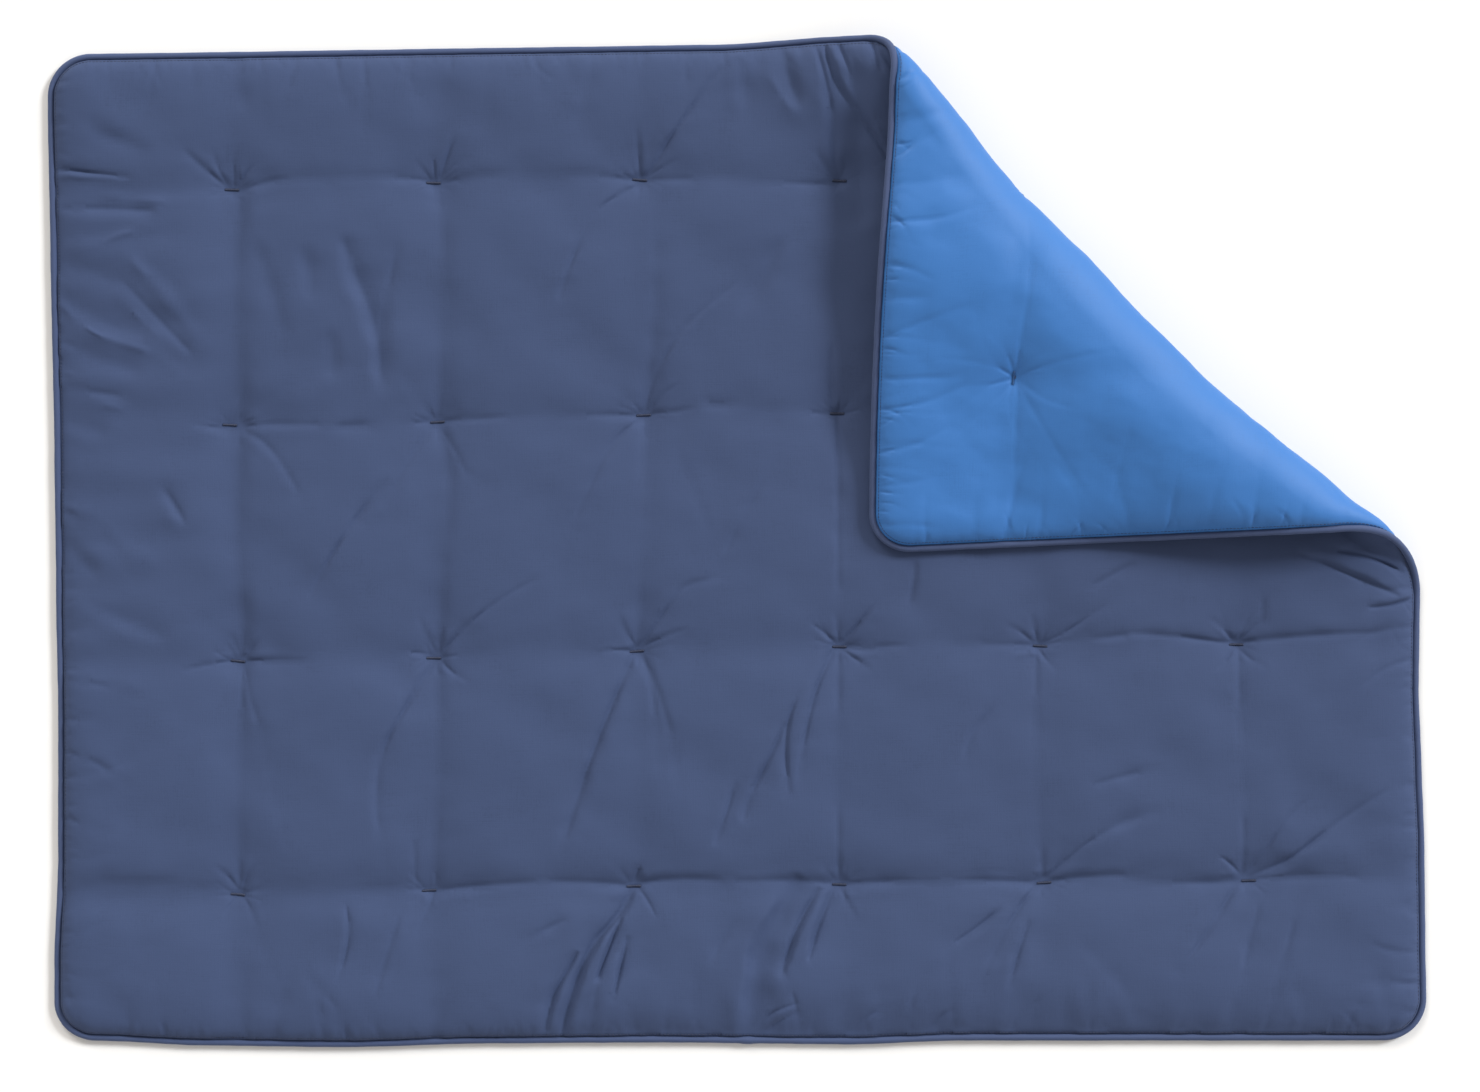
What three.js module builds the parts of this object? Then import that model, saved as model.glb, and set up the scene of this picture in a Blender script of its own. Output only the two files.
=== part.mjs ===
import * as THREE from 'three';

// Electric blanket: a padded throw, navy on its face and bright blue on its back, held together by
// rows of tufts and edged with round navy piping. It lies face up on a flat surface with its upper
// right corner folded over onto itself, so that the blue back shows there.
// Millimetres, +Z up, X along the long sides. Shapes are worked out in the flat blanket's own frame,
// with its middle at 0, 0 and the surface at z 0, and the whole group is centred at the end.

// Driving dimensions of the flat blanket
const WIDTH = 1785;
const HEIGHT = 1305;
const CORNER_RADIUS = 56;
const PIPING_RADIUS = 4.5;
const PIPING_SIDES = 8;
const BACK_CLOTH = 1.5;
const PIECE_GAP = 0.3;
const PIPING_GAP = 0.7;

// Filling: full height of a pillow, height left at a tuft and along the sewn edge
const PILLOW_HEIGHT = 26;
const EDGE_HEIGHT = 6;
const SHOULDER_WIDTH = 75;
const EDGE_LIFT = 1.7;
const EDGE_LIFT_WIDTH = 45;
const SEAM_BAND = 14;

// Tufts: a regular grid, its rows slightly tilted, each tuft a few millimetres off its place
const TUFT_COLUMNS = 6;
const TUFT_ROWS = 4;
const TUFT_PITCH_X = 262.6;
const TUFT_PITCH_Y = 306.3;
const FIRST_TUFT = { x: -654.8, y: 473.1 };
const TUFT_REACH = 40;
const TUFT_LIFT = 2.5;
const TUFT_LIFT_REACH = 60;
const TUFT_PULL_WIDTH = 70;
const ROW_TILT = 0.0147;
const ROW_TILT_START = 205;
const TUFT_OFFSETS = [
  { row: 0, x: [-2, -3, 3, 0, -14, 0], y: [-2, 3, 3, -4, -14, 0] },
  { row: 1, x: [-6, 2, 8, -3, -1, 1], y: [-2, -2, 3, 1, 0, 0] },
  { row: 2, x: [4, -3, -1, 0, -1, -8], y: [-3, -3, 2, 4, 1, -1] },
  { row: 3, x: [4, -9, -5, 0, 4, 7], y: [0, 1, 2, 1, -2, -3] },
];

// Troughs that join the tufts of a row or a column, as a share of the filling's height
const ROW_TROUGHS = [0.2, 0.14, 0.2, 0.36];
const COLUMN_TROUGHS = [0.24, 0.2, 0.14, 0.1, 0.1, 0.1];
const TROUGH_WIDTH = 26;

// How far each edge wanders outward from a straight line, along its length
const EDGE_WANDER_REACH = 150;
const EDGE_WANDER = {
  left: [
    { at: -530, out: -1.3 },
    { at: -400, out: -6.5 },
    { at: -200, out: -6.5 },
    { at: -73, out: -3.9 },
    { at: 140, out: -1.3 },
    { at: 380, out: 4 },
    { at: 579, out: 7.9 },
  ],
  right: [
    { at: -595, out: 7 },
    { at: -530, out: 5.7 },
    { at: -400, out: 4.4 },
    { at: -308, out: 0.5 },
    { at: -203, out: -3.4 },
    { at: -73, out: -1.5 },
    { at: 60, out: -6 },
  ],
  bottom: [
    { at: -831, out: -4.4 },
    { at: -701, out: 2.2 },
    { at: -505, out: 4.8 },
    { at: -335, out: -0.5 },
    { at: -100, out: -1.8 },
    { at: 147, out: 0.9 },
    { at: 290, out: -4.4 },
  ],
  top: [
    { at: -20, out: 0 },
    { at: 110, out: 6 },
    { at: 200, out: 6 },
    { at: 330, out: 0 },
  ],
};

// The folded corner. The fold runs from the top edge to the right edge. Along it, reach is how far
// the middle of the cloth bulges past the straight line, and radius is that of the soft bend.
const FOLD_TOP = new THREE.Vector2(194.5, 650.5);
const FOLD_SIDE = new THREE.Vector2(882.5, -46.5);
const FOLD_SHAPE = [
  { at: 0, reach: -4, radius: 18 },
  { at: 80, reach: -8, radius: 24 },
  { at: 220, reach: -15, radius: 33 },
  { at: 410, reach: -23, radius: 38 },
  { at: 560, reach: -26, radius: 40 },
  { at: 680, reach: -15, radius: 39 },
  { at: 850, reach: 2, radius: 34 },
  { at: 935, reach: 14, radius: 32 },
  { at: 1010, reach: 17, radius: 32 },
];
const BEND_SPREAD = 1.25;
const BEND_SQUEEZE = 0.25;

// The flap: where the blanket's corner comes down, how its two edges run from there, and the bow
// of its left edge towards the fold
const FLAP_CORNER = new THREE.Vector2(169.1, -13.5);
const FLAP_UP = new THREE.Vector2(0, 0.952);
const FLAP_ACROSS = new THREE.Vector2(1.019, 0.047);
const FLAP_BOW = 31;
const FLAP_BOW_LENGTH = 664;
const FLAP_BOW_POWER = 2.2;
const FLAP_GAP = 3;
const FLAP_EDGE_RISE = 64;
const FLAP_DESCENT = 5;

// The cloth is lifted off the surface where the fold meets the top edge
const LIFT_HEIGHT = 34;
const LIFT_WIDTH = 75;
const LIFT_CENTRE = new THREE.Vector2(199, 640);

// Size of the cloth inside the piping
const EDGE_INSET = 2 * PIPING_RADIUS + PIPING_GAP;
const CLOTH_HALF_WIDTH = WIDTH / 2 - EDGE_INSET;
const CLOTH_HALF_HEIGHT = HEIGHT / 2 - EDGE_INSET;
const CLOTH_CORNER = CORNER_RADIUS - EDGE_INSET;

// Mesh lines of the cloth, from the left and from the bottom: where a stretch of them ends, and its
// cells. Gather draws the lines towards the ends of a stretch, where the tufts are.
const tuftColumn = (column) => FIRST_TUFT.x + column * TUFT_PITCH_X;
const tuftRow = (row) => FIRST_TUFT.y - row * TUFT_PITCH_Y;
const COLUMN_LINES = [
  { to: SEAM_BAND - CLOTH_HALF_WIDTH, cells: 1, gather: 0 },
  { to: EDGE_LIFT_WIDTH - CLOTH_HALF_WIDTH, cells: 1, gather: 0 },
  { to: tuftColumn(0), cells: 2, gather: 0.3 },
  { to: tuftColumn(1), cells: 4, gather: 0.6 },
  { to: tuftColumn(2), cells: 4, gather: 0.6 },
  { to: tuftColumn(3), cells: 4, gather: 0.6 },
  { to: 180, cells: 1, gather: 0 },
  { to: 252, cells: 6, gather: 0 },
  { to: tuftColumn(4), cells: 4, gather: 0 },
  { to: tuftColumn(5), cells: 8, gather: 0 },
  { to: CLOTH_HALF_WIDTH - EDGE_LIFT_WIDTH, cells: 4, gather: 0 },
  { to: CLOTH_HALF_WIDTH - SEAM_BAND, cells: 1, gather: 0 },
  { to: CLOTH_HALF_WIDTH, cells: 1, gather: 0 },
];
const ROW_LINES = [
  { to: SEAM_BAND - CLOTH_HALF_HEIGHT, cells: 1, gather: 0 },
  { to: EDGE_LIFT_WIDTH - CLOTH_HALF_HEIGHT, cells: 1, gather: 0 },
  { to: tuftRow(3), cells: 2, gather: 0.3 },
  { to: tuftRow(2), cells: 4, gather: 0.6 },
  { to: -70, cells: 2, gather: 0 },
  { to: 84, cells: 8, gather: 0 },
  { to: tuftRow(1), cells: 2, gather: 0 },
  { to: tuftRow(0), cells: 8, gather: 0 },
  { to: CLOTH_HALF_HEIGHT - EDGE_LIFT_WIDTH, cells: 3, gather: 0 },
  { to: CLOTH_HALF_HEIGHT - SEAM_BAND, cells: 1, gather: 0 },
  { to: CLOTH_HALF_HEIGHT, cells: 1, gather: 0 },
];

const ALONG_FOLD = FOLD_SIDE.clone().sub(FOLD_TOP).normalize();
const OUT_OF_FOLD = new THREE.Vector2(-ALONG_FOLD.y, ALONG_FOLD.x);

const smooth = (t) => THREE.MathUtils.smoothstep(t, 0, 1);

// Smooth reading of a table between its rows
function readTable(table, at, column) {
  const last = table.length - 1;
  if (at <= table[0].at) return table[0][column];
  if (at >= table[last].at) return table[last][column];
  const next = table.findIndex((row) => row.at > at);
  const from = table[next - 1];
  const to = table[next];
  const blend = smooth((at - from.at) / (to.at - from.at));
  const straight = (at - from.at) / (to.at - from.at);
  return THREE.MathUtils.lerp(from[column], to[column], 0.5 * (blend + straight));
}

// Distance from a point of the flat cloth to its rounded outline, positive inside
function edgeDistance(x, y) {
  const past = new THREE.Vector2(
    Math.abs(x) - CLOTH_HALF_WIDTH + CLOTH_CORNER,
    Math.abs(y) - CLOTH_HALF_HEIGHT + CLOTH_CORNER,
  );
  const inside = Math.min(Math.max(past.x, past.y), 0);
  return CLOTH_CORNER - inside - Math.hypot(Math.max(past.x, 0), Math.max(past.y, 0));
}

function forEachTuft(visit) {
  for (let row = 0; row < TUFT_ROWS; row += 1) {
    for (let column = 0; column < TUFT_COLUMNS; column += 1) {
      visit(tuftColumn(column), tuftRow(row), row, column);
    }
  }
}

// Height of the filled cloth: pillows between the tufts, drawn in towards the sewn edge
function clothHeight(x, y) {
  const inward = THREE.MathUtils.clamp(edgeDistance(x, y) / SHOULDER_WIDTH, 0, 1);
  let filling = Math.sqrt(1 - (1 - inward) ** 2);
  forEachTuft((tuftX, tuftY) => {
    filling *= 1 - Math.exp(-Math.hypot(x - tuftX, y - tuftY) / TUFT_REACH);
  });
  ROW_TROUGHS.forEach((share, row) => {
    const away = (y - tuftRow(row)) / TROUGH_WIDTH;
    filling *= 1 - share * Math.exp(-away * away);
  });
  COLUMN_TROUGHS.forEach((share, column) => {
    const away = (x - tuftColumn(column)) / TROUGH_WIDTH;
    filling *= 1 - share * Math.exp(-away * away);
  });
  return EDGE_HEIGHT + (PILLOW_HEIGHT - EDGE_HEIGHT) * filling;
}

// Height of the underside: flat on the surface, drawn up a little at the tufts and the sewn edge
function underside(x, y) {
  const outward = 1 - THREE.MathUtils.clamp(edgeDistance(x, y) / EDGE_LIFT_WIDTH, 0, 1);
  let lift = EDGE_LIFT * outward ** 2;
  forEachTuft((tuftX, tuftY) => {
    const away = Math.hypot(x - tuftX, y - tuftY) / TUFT_LIFT_REACH;
    lift += TUFT_LIFT * Math.max(0, 1 - away * away) ** 2;
  });
  return lift;
}

// Where a point of the regular cloth lies in the real one, whose rows tilt, whose tufts are a
// little off and whose edges wander
function layOut(x, y) {
  const place = new THREE.Vector2(x, y);
  place.y += ROW_TILT * x * smooth((y + HEIGHT / 2) / ROW_TILT_START);
  forEachTuft((tuftX, tuftY, row, column) => {
    const away = Math.hypot(x - tuftX, y - tuftY) / TUFT_PULL_WIDTH;
    const pull = Math.exp(-0.5 * away * away);
    place.x += TUFT_OFFSETS[row].x[column] * pull;
    place.y += TUFT_OFFSETS[row].y[column] * pull;
  });
  const fade = (distance) => Math.exp(-Math.max(distance, 0) / EDGE_WANDER_REACH);
  place.x -= readTable(EDGE_WANDER.left, y, 'out') * fade(WIDTH / 2 + x);
  place.x += readTable(EDGE_WANDER.right, y, 'out') * fade(WIDTH / 2 - x);
  place.y -= readTable(EDGE_WANDER.bottom, x, 'out') * fade(HEIGHT / 2 + y);
  place.y += readTable(EDGE_WANDER.top, x, 'out') * fade(HEIGHT / 2 - y);
  return place;
}

const CORNER_PLACE = layOut(WIDTH / 2, HEIGHT / 2);

// Where the flap lies, for a point of the flat cloth beyond the bend
function onFlap(flat) {
  const fromSide = CORNER_PLACE.x - flat.x;
  const fromTop = CORNER_PLACE.y + ROW_TILT * (flat.x - CORNER_PLACE.x) - flat.y;
  const bow = FLAP_BOW * (Math.max(fromSide, 0) / FLAP_BOW_LENGTH) ** FLAP_BOW_POWER;
  const place = FLAP_CORNER.clone();
  place.addScaledVector(FLAP_UP, fromSide).addScaledVector(FLAP_ACROSS, fromTop);
  place.x += bow;
  return { place, fromSide };
}

const alongFold = (point) => point.clone().sub(FOLD_TOP).dot(ALONG_FOLD);
const outOfFold = (point) => point.clone().sub(FOLD_TOP).dot(OUT_OF_FOLD);
const fromFold = (along, out) => FOLD_TOP.clone()
  .addScaledVector(ALONG_FOLD, along)
  .addScaledVector(OUT_OF_FOLD, out);

// The bend at one place along the fold: where it starts, how much cloth it takes up, and how far
// inside its outermost line it comes down on the flap
function bendAt(along) {
  const reach = readTable(FOLD_SHAPE, along, 'reach');
  const radius = readTable(FOLD_SHAPE, along, 'radius');
  const start = reach - radius;
  let length = Math.PI * radius;
  let landing = onFlap(fromFold(along, start + length)).place;
  for (let round = 0; round < 6; round += 1) {
    length += BEND_SPREAD * radius - (reach - outOfFold(landing));
    landing = onFlap(fromFold(along, start + length)).place;
  }
  return { reach, radius, start, length, landing, spread: reach - outOfFold(landing) };
}

// Lift of the whole stack where the fold meets the top edge
function stackLift(point) {
  const away = point.distanceTo(LIFT_CENTRE) / LIFT_WIDTH;
  return LIFT_HEIGHT * Math.exp(-0.5 * away * away);
}

// Puts a point of the regular cloth in space. Side is -1 on the back, 1 on the face and 0 in the
// middle of the filling, and rise is a distance from there towards the face.
function placeCloth(x, y, side, rise) {
  const flat = layOut(x, y);
  const along = alongFold(flat);
  const bend = bendAt(along);
  const past = outOfFold(flat) - bend.start;
  const height = clothHeight(x, y);
  const low = underside(x, y);
  if (past <= 0) {
    const z = low + 0.5 * height * (1 + side) + rise + stackLift(flat);
    return new THREE.Vector3(flat.x, flat.y, z);
  }
  if (past >= bend.length) {
    const { place, fromSide } = onFlap(flat);
    const edgeRise = FLAP_EDGE_RISE * smooth(fromSide / FLAP_BOW_LENGTH);
    const rest = PILLOW_HEIGHT + FLAP_GAP + edgeRise;
    const descent = smooth((past - bend.length) / (FLAP_DESCENT * bend.radius + PILLOW_HEIGHT));
    const under = THREE.MathUtils.lerp(2 * bend.radius, rest, descent);
    const z = under + 0.5 * height * (1 - side) - rise + stackLift(place);
    return new THREE.Vector3(place.x, place.y, z);
  }
  const turn = Math.PI * past / bend.length;
  const over = 0.5 * (1 - Math.cos(turn));
  const width = turn < Math.PI / 2 ? bend.radius : bend.spread;
  const squeezed = height * (1 - BEND_SQUEEZE * Math.sin(turn));
  const inward = new THREE.Vector2(-bend.radius * Math.sin(turn), width * Math.cos(turn)).normalize();
  const offset = 0.5 * squeezed * side + rise;
  const landed = alongFold(bend.landing);
  const middle = fromFold(
    THREE.MathUtils.lerp(along, landed, over),
    bend.reach - width * (1 - Math.sin(turn)) + inward.x * offset,
  );
  const z = low * (1 - over) + 0.5 * squeezed + 2 * bend.radius * over + inward.y * offset;
  return new THREE.Vector3(middle.x, middle.y, z + stackLift(middle));
}

// Mesh lines from a table of stretches
function meshLines(start, table) {
  const lines = [start];
  let from = start;
  table.forEach(({ to, cells, gather }) => {
    for (let cell = 1; cell <= cells; cell += 1) {
      const share = cell / cells;
      const eased = share - gather * Math.sin(2 * Math.PI * share) / (2 * Math.PI);
      lines.push(THREE.MathUtils.lerp(from, to, eased));
    }
    from = to;
  });
  return lines;
}

// Draws a mesh point near a corner in onto the rounded outline
function roundCorner(x, y) {
  const a = (Math.abs(x) - CLOTH_HALF_WIDTH + CLOTH_CORNER) / CLOTH_CORNER;
  const b = (Math.abs(y) - CLOTH_HALF_HEIGHT + CLOTH_CORNER) / CLOTH_CORNER;
  if (a <= 0 || b <= 0) return new THREE.Vector2(x, y);
  const inX = CLOTH_CORNER * a * (1 - Math.sqrt(1 - b * b / 2));
  const inY = CLOTH_CORNER * b * (1 - Math.sqrt(1 - a * a / 2));
  return new THREE.Vector2(x - Math.sign(x) * inX, y - Math.sign(y) * inY);
}

const COLUMNS = meshLines(-CLOTH_HALF_WIDTH, COLUMN_LINES);
const ROWS = meshLines(-CLOTH_HALF_HEIGHT, ROW_LINES);

// The mesh points along the cloth's edge, once round, anticlockwise
function edgePoints() {
  const lastColumn = COLUMNS.length - 1;
  const lastRow = ROWS.length - 1;
  const around = [];
  for (let i = 0; i < lastColumn; i += 1) around.push([COLUMNS[i], ROWS[0]]);
  for (let j = 0; j < lastRow; j += 1) around.push([COLUMNS[lastColumn], ROWS[j]]);
  for (let i = lastColumn; i > 0; i -= 1) around.push([COLUMNS[i], ROWS[lastRow]]);
  for (let j = lastRow; j > 0; j -= 1) around.push([COLUMNS[0], ROWS[j]]);
  return around.map(([x, y]) => roundCorner(x, y));
}

function meshFrom(points, faces) {
  const geometry = new THREE.BufferGeometry();
  const positions = new Float32Array(points.flatMap((point) => point.toArray()));
  geometry.setAttribute('position', new THREE.BufferAttribute(positions, 3));
  geometry.setIndex(faces.flat());
  geometry.computeVertexNormals();
  return geometry;
}

// A closed layer of the cloth between two levels, each a side and a rise
function clothLayer(lower, upper) {
  const across = COLUMNS.length;
  const points = [];
  [lower, upper].forEach(({ side, rise }) => {
    ROWS.forEach((y) => COLUMNS.forEach((x) => {
      const rounded = roundCorner(x, y);
      points.push(placeCloth(rounded.x, rounded.y, side, rise));
    }));
  });
  const top = across * ROWS.length;
  const faces = [];
  for (let j = 0; j < ROWS.length - 1; j += 1) {
    for (let i = 0; i < across - 1; i += 1) {
      const a = j * across + i;
      const b = a + 1;
      const c = b + across;
      const d = a + across;
      faces.push([top + a, top + b, top + d], [top + b, top + c, top + d]);
      faces.push([a, d, b], [b, d, c]);
    }
  }
  const wall = (a, b) => faces.push([a, b, top + b], [a, top + b, top + a]);
  const lastRow = across * (ROWS.length - 1);
  for (let i = 0; i < across - 1; i += 1) {
    wall(i, i + 1);
    wall(lastRow + i + 1, lastRow + i);
  }
  for (let j = 0; j < ROWS.length - 1; j += 1) {
    wall((j + 1) * across, j * across);
    wall((j + 1) * across - 1, (j + 2) * across - 1);
  }
  return meshFrom(points, faces);
}

// Outward direction of the flat cloth's edge
function edgeOutward({ x, y }) {
  const past = new THREE.Vector2(
    Math.max(Math.abs(x) - CLOTH_HALF_WIDTH + CLOTH_CORNER, 0) * Math.sign(x),
    Math.max(Math.abs(y) - CLOTH_HALF_HEIGHT + CLOTH_CORNER, 0) * Math.sign(y),
  );
  return past.normalize();
}

// Round piping sewn along the whole edge, its sections square to the edge in space
function pipingRing() {
  const around = edgePoints();
  const middles = around.map((edge) => placeCloth(edge.x, edge.y, 0, 0));
  const points = [];
  around.forEach((edge, i) => {
    const before = middles[(i + around.length - 1) % around.length];
    const after = middles[(i + 1) % around.length];
    const along = after.clone().sub(before).normalize();
    const outside = edge.clone().addScaledVector(edgeOutward(edge), PIPING_RADIUS);
    const outward = placeCloth(outside.x, outside.y, 0, 0).sub(middles[i]);
    outward.addScaledVector(along, -outward.dot(along)).normalize();
    const faceward = new THREE.Vector3().crossVectors(outward, along);
    for (let k = 0; k < PIPING_SIDES; k += 1) {
      const angle = 2 * Math.PI * k / PIPING_SIDES;
      const point = middles[i].clone();
      point.addScaledVector(outward, PIPING_GAP + PIPING_RADIUS * (1 + Math.cos(angle)));
      point.addScaledVector(faceward, PIPING_RADIUS * Math.sin(angle));
      points.push(point);
    }
  });
  const faces = [];
  for (let i = 0; i < around.length; i += 1) {
    for (let k = 0; k < PIPING_SIDES; k += 1) {
      const next = (k + 1) % PIPING_SIDES;
      const here = i * PIPING_SIDES;
      const there = ((i + 1) % around.length) * PIPING_SIDES;
      faces.push([here + k, there + k, there + next], [here + k, there + next, here + next]);
    }
  }
  return meshFrom(points, faces);
}

const navyCloth = new THREE.MeshStandardMaterial({ color: 0x4a5a7e, roughness: 0.85, metalness: 0 });
const blueCloth = new THREE.MeshStandardMaterial({ color: 0x4175b7, roughness: 0.8, metalness: 0 });
const navyPiping = new THREE.MeshStandardMaterial({ color: 0x475276, roughness: 0.75, metalness: 0 });

function namedMesh(name, geometry, material) {
  const mesh = new THREE.Mesh(geometry, material);
  mesh.name = name;
  return mesh;
}

const backTop = { side: -1, rise: BACK_CLOTH };
const quiltBottom = { side: -1, rise: BACK_CLOTH + PIECE_GAP };

const group = new THREE.Group();
group.add(namedMesh('back_panel', clothLayer({ side: -1, rise: 0 }, backTop), blueCloth));
group.add(namedMesh('quilted_face', clothLayer(quiltBottom, { side: 1, rise: 0 }), navyCloth));
group.add(namedMesh('edge_piping', pipingRing(), navyPiping));

// Centre of the bounding box at 0, 0, lowest point at z 0
const box = new THREE.Box3().setFromObject(group, true);
const centre = box.getCenter(new THREE.Vector3());
group.position.set(-centre.x, -centre.y, -box.min.z);

export default group;
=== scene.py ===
"""Electric blanket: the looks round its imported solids, in millimetres until a mesh is made."""

import math

import bpy
import numpy as np
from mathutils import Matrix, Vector
from mathutils.bvhtree import BVHTree


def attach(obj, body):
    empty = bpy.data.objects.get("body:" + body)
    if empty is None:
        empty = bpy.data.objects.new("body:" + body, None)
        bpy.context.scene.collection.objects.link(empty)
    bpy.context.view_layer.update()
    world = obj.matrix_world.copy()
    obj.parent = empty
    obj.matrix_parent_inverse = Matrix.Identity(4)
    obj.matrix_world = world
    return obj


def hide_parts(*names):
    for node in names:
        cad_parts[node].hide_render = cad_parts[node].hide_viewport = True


MM = 0.001

# The flat blanket, as in the part's source
WIDTH = 1785
HEIGHT = 1305
CORNER_RADIUS = 56
PIPING_RADIUS = 4.5
BACK_CLOTH = 1.5
PIECE_GAP = 0.3
PIPING_GAP = 0.7
PILLOW_HEIGHT = 26
EDGE_HEIGHT = 6
SHOULDER_WIDTH = 75
EDGE_LIFT = 1.7
EDGE_LIFT_WIDTH = 45
TUFT_COLUMNS = 6
TUFT_ROWS = 4
TUFT_PITCH_X = 262.6
TUFT_PITCH_Y = 306.3
FIRST_TUFT = (-654.8, 473.1)
TUFT_REACH = 40
TUFT_LIFT = 2.5
TUFT_LIFT_REACH = 60
TUFT_PULL_WIDTH = 70
ROW_TILT = 0.0147
ROW_TILT_START = 205
# Per row of tufts: how far each one is off its place in x, then in y
TUFT_OFFSETS = [
    ([-2, -3, 3, 0, -14, 0], [-2, 3, 3, -4, -14, 0]),
    ([-6, 2, 8, -3, -1, 1], [-2, -2, 3, 1, 0, 0]),
    ([4, -3, -1, 0, -1, -8], [-3, -3, 2, 4, 1, -1]),
    ([4, -9, -5, 0, 4, 7], [0, 1, 2, 1, -2, -3]),
]
ROW_TROUGHS = [0.2, 0.14, 0.2, 0.36]
COLUMN_TROUGHS = [0.24, 0.2, 0.14, 0.1, 0.1, 0.1]
TROUGH_WIDTH = 26
EDGE_WANDER_REACH = 150
# Place along the edge, then how far it wanders outward there
WANDER_LEFT = [(-530, -1.3), (-400, -6.5), (-200, -6.5), (-73, -3.9), (140, -1.3), (380, 4), (579, 7.9)]
WANDER_RIGHT = [(-595, 7), (-530, 5.7), (-400, 4.4), (-308, 0.5), (-203, -3.4), (-73, -1.5), (60, -6)]
WANDER_BOTTOM = [(-831, -4.4), (-701, 2.2), (-505, 4.8), (-335, -0.5), (-100, -1.8), (147, 0.9), (290, -4.4)]
WANDER_TOP = [(-20, 0), (110, 6), (200, 6), (330, 0)]
FOLD_TOP = np.array([194.5, 650.5])
FOLD_SIDE = np.array([882.5, -46.5])
# Place along the fold, how far the cloth's middle bulges past the straight line, radius of the bend
FOLD_SHAPE = [
    (0, -4, 18),
    (80, -8, 24),
    (220, -15, 33),
    (410, -23, 38),
    (560, -26, 40),
    (680, -15, 39),
    (850, 2, 34),
    (935, 14, 32),
    (1010, 17, 32),
]
BEND_SPREAD = 1.25
BEND_SQUEEZE = 0.25
FLAP_CORNER = (169.1, -13.5)
FLAP_UP = (0, 0.952)
FLAP_ACROSS = (1.019, 0.047)
FLAP_BOW = 31
FLAP_BOW_LENGTH = 664
FLAP_BOW_POWER = 2.2
FLAP_GAP = 3
FLAP_EDGE_RISE = 64
FLAP_DESCENT = 5
LIFT_HEIGHT = 34
LIFT_WIDTH = 75
LIFT_CENTRE = (199, 640)

EDGE_INSET = 2 * PIPING_RADIUS + PIPING_GAP
HALF_WIDTH = WIDTH / 2 - EDGE_INSET
HALF_HEIGHT = HEIGHT / 2 - EDGE_INSET
CLOTH_CORNER = CORNER_RADIUS - EDGE_INSET
ALONG_FOLD = (FOLD_SIDE - FOLD_TOP) / np.linalg.norm(FOLD_SIDE - FOLD_TOP)
OUT_OF_FOLD = np.array([-ALONG_FOLD[1], ALONG_FOLD[0]])

# Rounds of search in which the flap's bow and the bend's length settle
SOLVE_ROUNDS = 6

# Places of the tufts on the regular cloth, row by row
TUFTS = [
    (FIRST_TUFT[0] + column * TUFT_PITCH_X, FIRST_TUFT[1] - row * TUFT_PITCH_Y)
    for row in range(TUFT_ROWS)
    for column in range(TUFT_COLUMNS)
]

# How far the part's source moves the blanket to centre it
CENTRING = (0.4, -1.48)

# The camera looks straight down, its picture centre a little off the blanket's middle
CAMERA_HEIGHT = 4500
CAMERA_OFF = (3.5, -2.5)
PIXEL = 1.3043
PICTURE = (1480, 1092)
SENSOR = 36

# Usual height of the flap's upper side over the floor
FLAP_VIEW_HEIGHT = 60


def smooth(t):
    t = np.clip(t, 0, 1)
    return t * t * (3 - 2 * t)


def mix(a, b, share):
    return a + (b - a) * share


def read_table(table, at, column):
    """Smooth reading of a table between its rows, by its first column."""
    rows = np.array(table, float)
    at = np.clip(at, rows[0, 0], rows[-1, 0])
    i = np.clip(np.searchsorted(rows[:, 0], at, side="right") - 1, 0, len(rows) - 2)
    share = (at - rows[i, 0]) / (rows[i + 1, 0] - rows[i, 0])
    return mix(rows[i, column], rows[i + 1, column], 0.5 * (share + smooth(share)))


def edge_distance(x, y):
    """Distance to the cloth's rounded outline, positive inside."""
    px = np.abs(x) - HALF_WIDTH + CLOTH_CORNER
    py = np.abs(y) - HALF_HEIGHT + CLOTH_CORNER
    inside = np.minimum(np.maximum(px, py), 0)
    return CLOTH_CORNER - inside - np.hypot(np.maximum(px, 0), np.maximum(py, 0))


def cloth_height(x, y):
    inward = np.clip(edge_distance(x, y) / SHOULDER_WIDTH, 0, 1)
    filling = np.sqrt(1 - (1 - inward) ** 2)
    for tx, ty in TUFTS:
        filling = filling * (1 - np.exp(-np.hypot(x - tx, y - ty) / TUFT_REACH))
    for row, share in enumerate(ROW_TROUGHS):
        away = (y - FIRST_TUFT[1] + row * TUFT_PITCH_Y) / TROUGH_WIDTH
        filling = filling * (1 - share * np.exp(-away * away))
    for column, share in enumerate(COLUMN_TROUGHS):
        away = (x - FIRST_TUFT[0] - column * TUFT_PITCH_X) / TROUGH_WIDTH
        filling = filling * (1 - share * np.exp(-away * away))
    return EDGE_HEIGHT + (PILLOW_HEIGHT - EDGE_HEIGHT) * filling


def underside(x, y):
    outward = 1 - np.clip(edge_distance(x, y) / EDGE_LIFT_WIDTH, 0, 1)
    lift = EDGE_LIFT * outward**2
    for tx, ty in TUFTS:
        away = np.hypot(x - tx, y - ty) / TUFT_LIFT_REACH
        lift = lift + TUFT_LIFT * np.maximum(0, 1 - away * away) ** 2
    return lift


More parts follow.
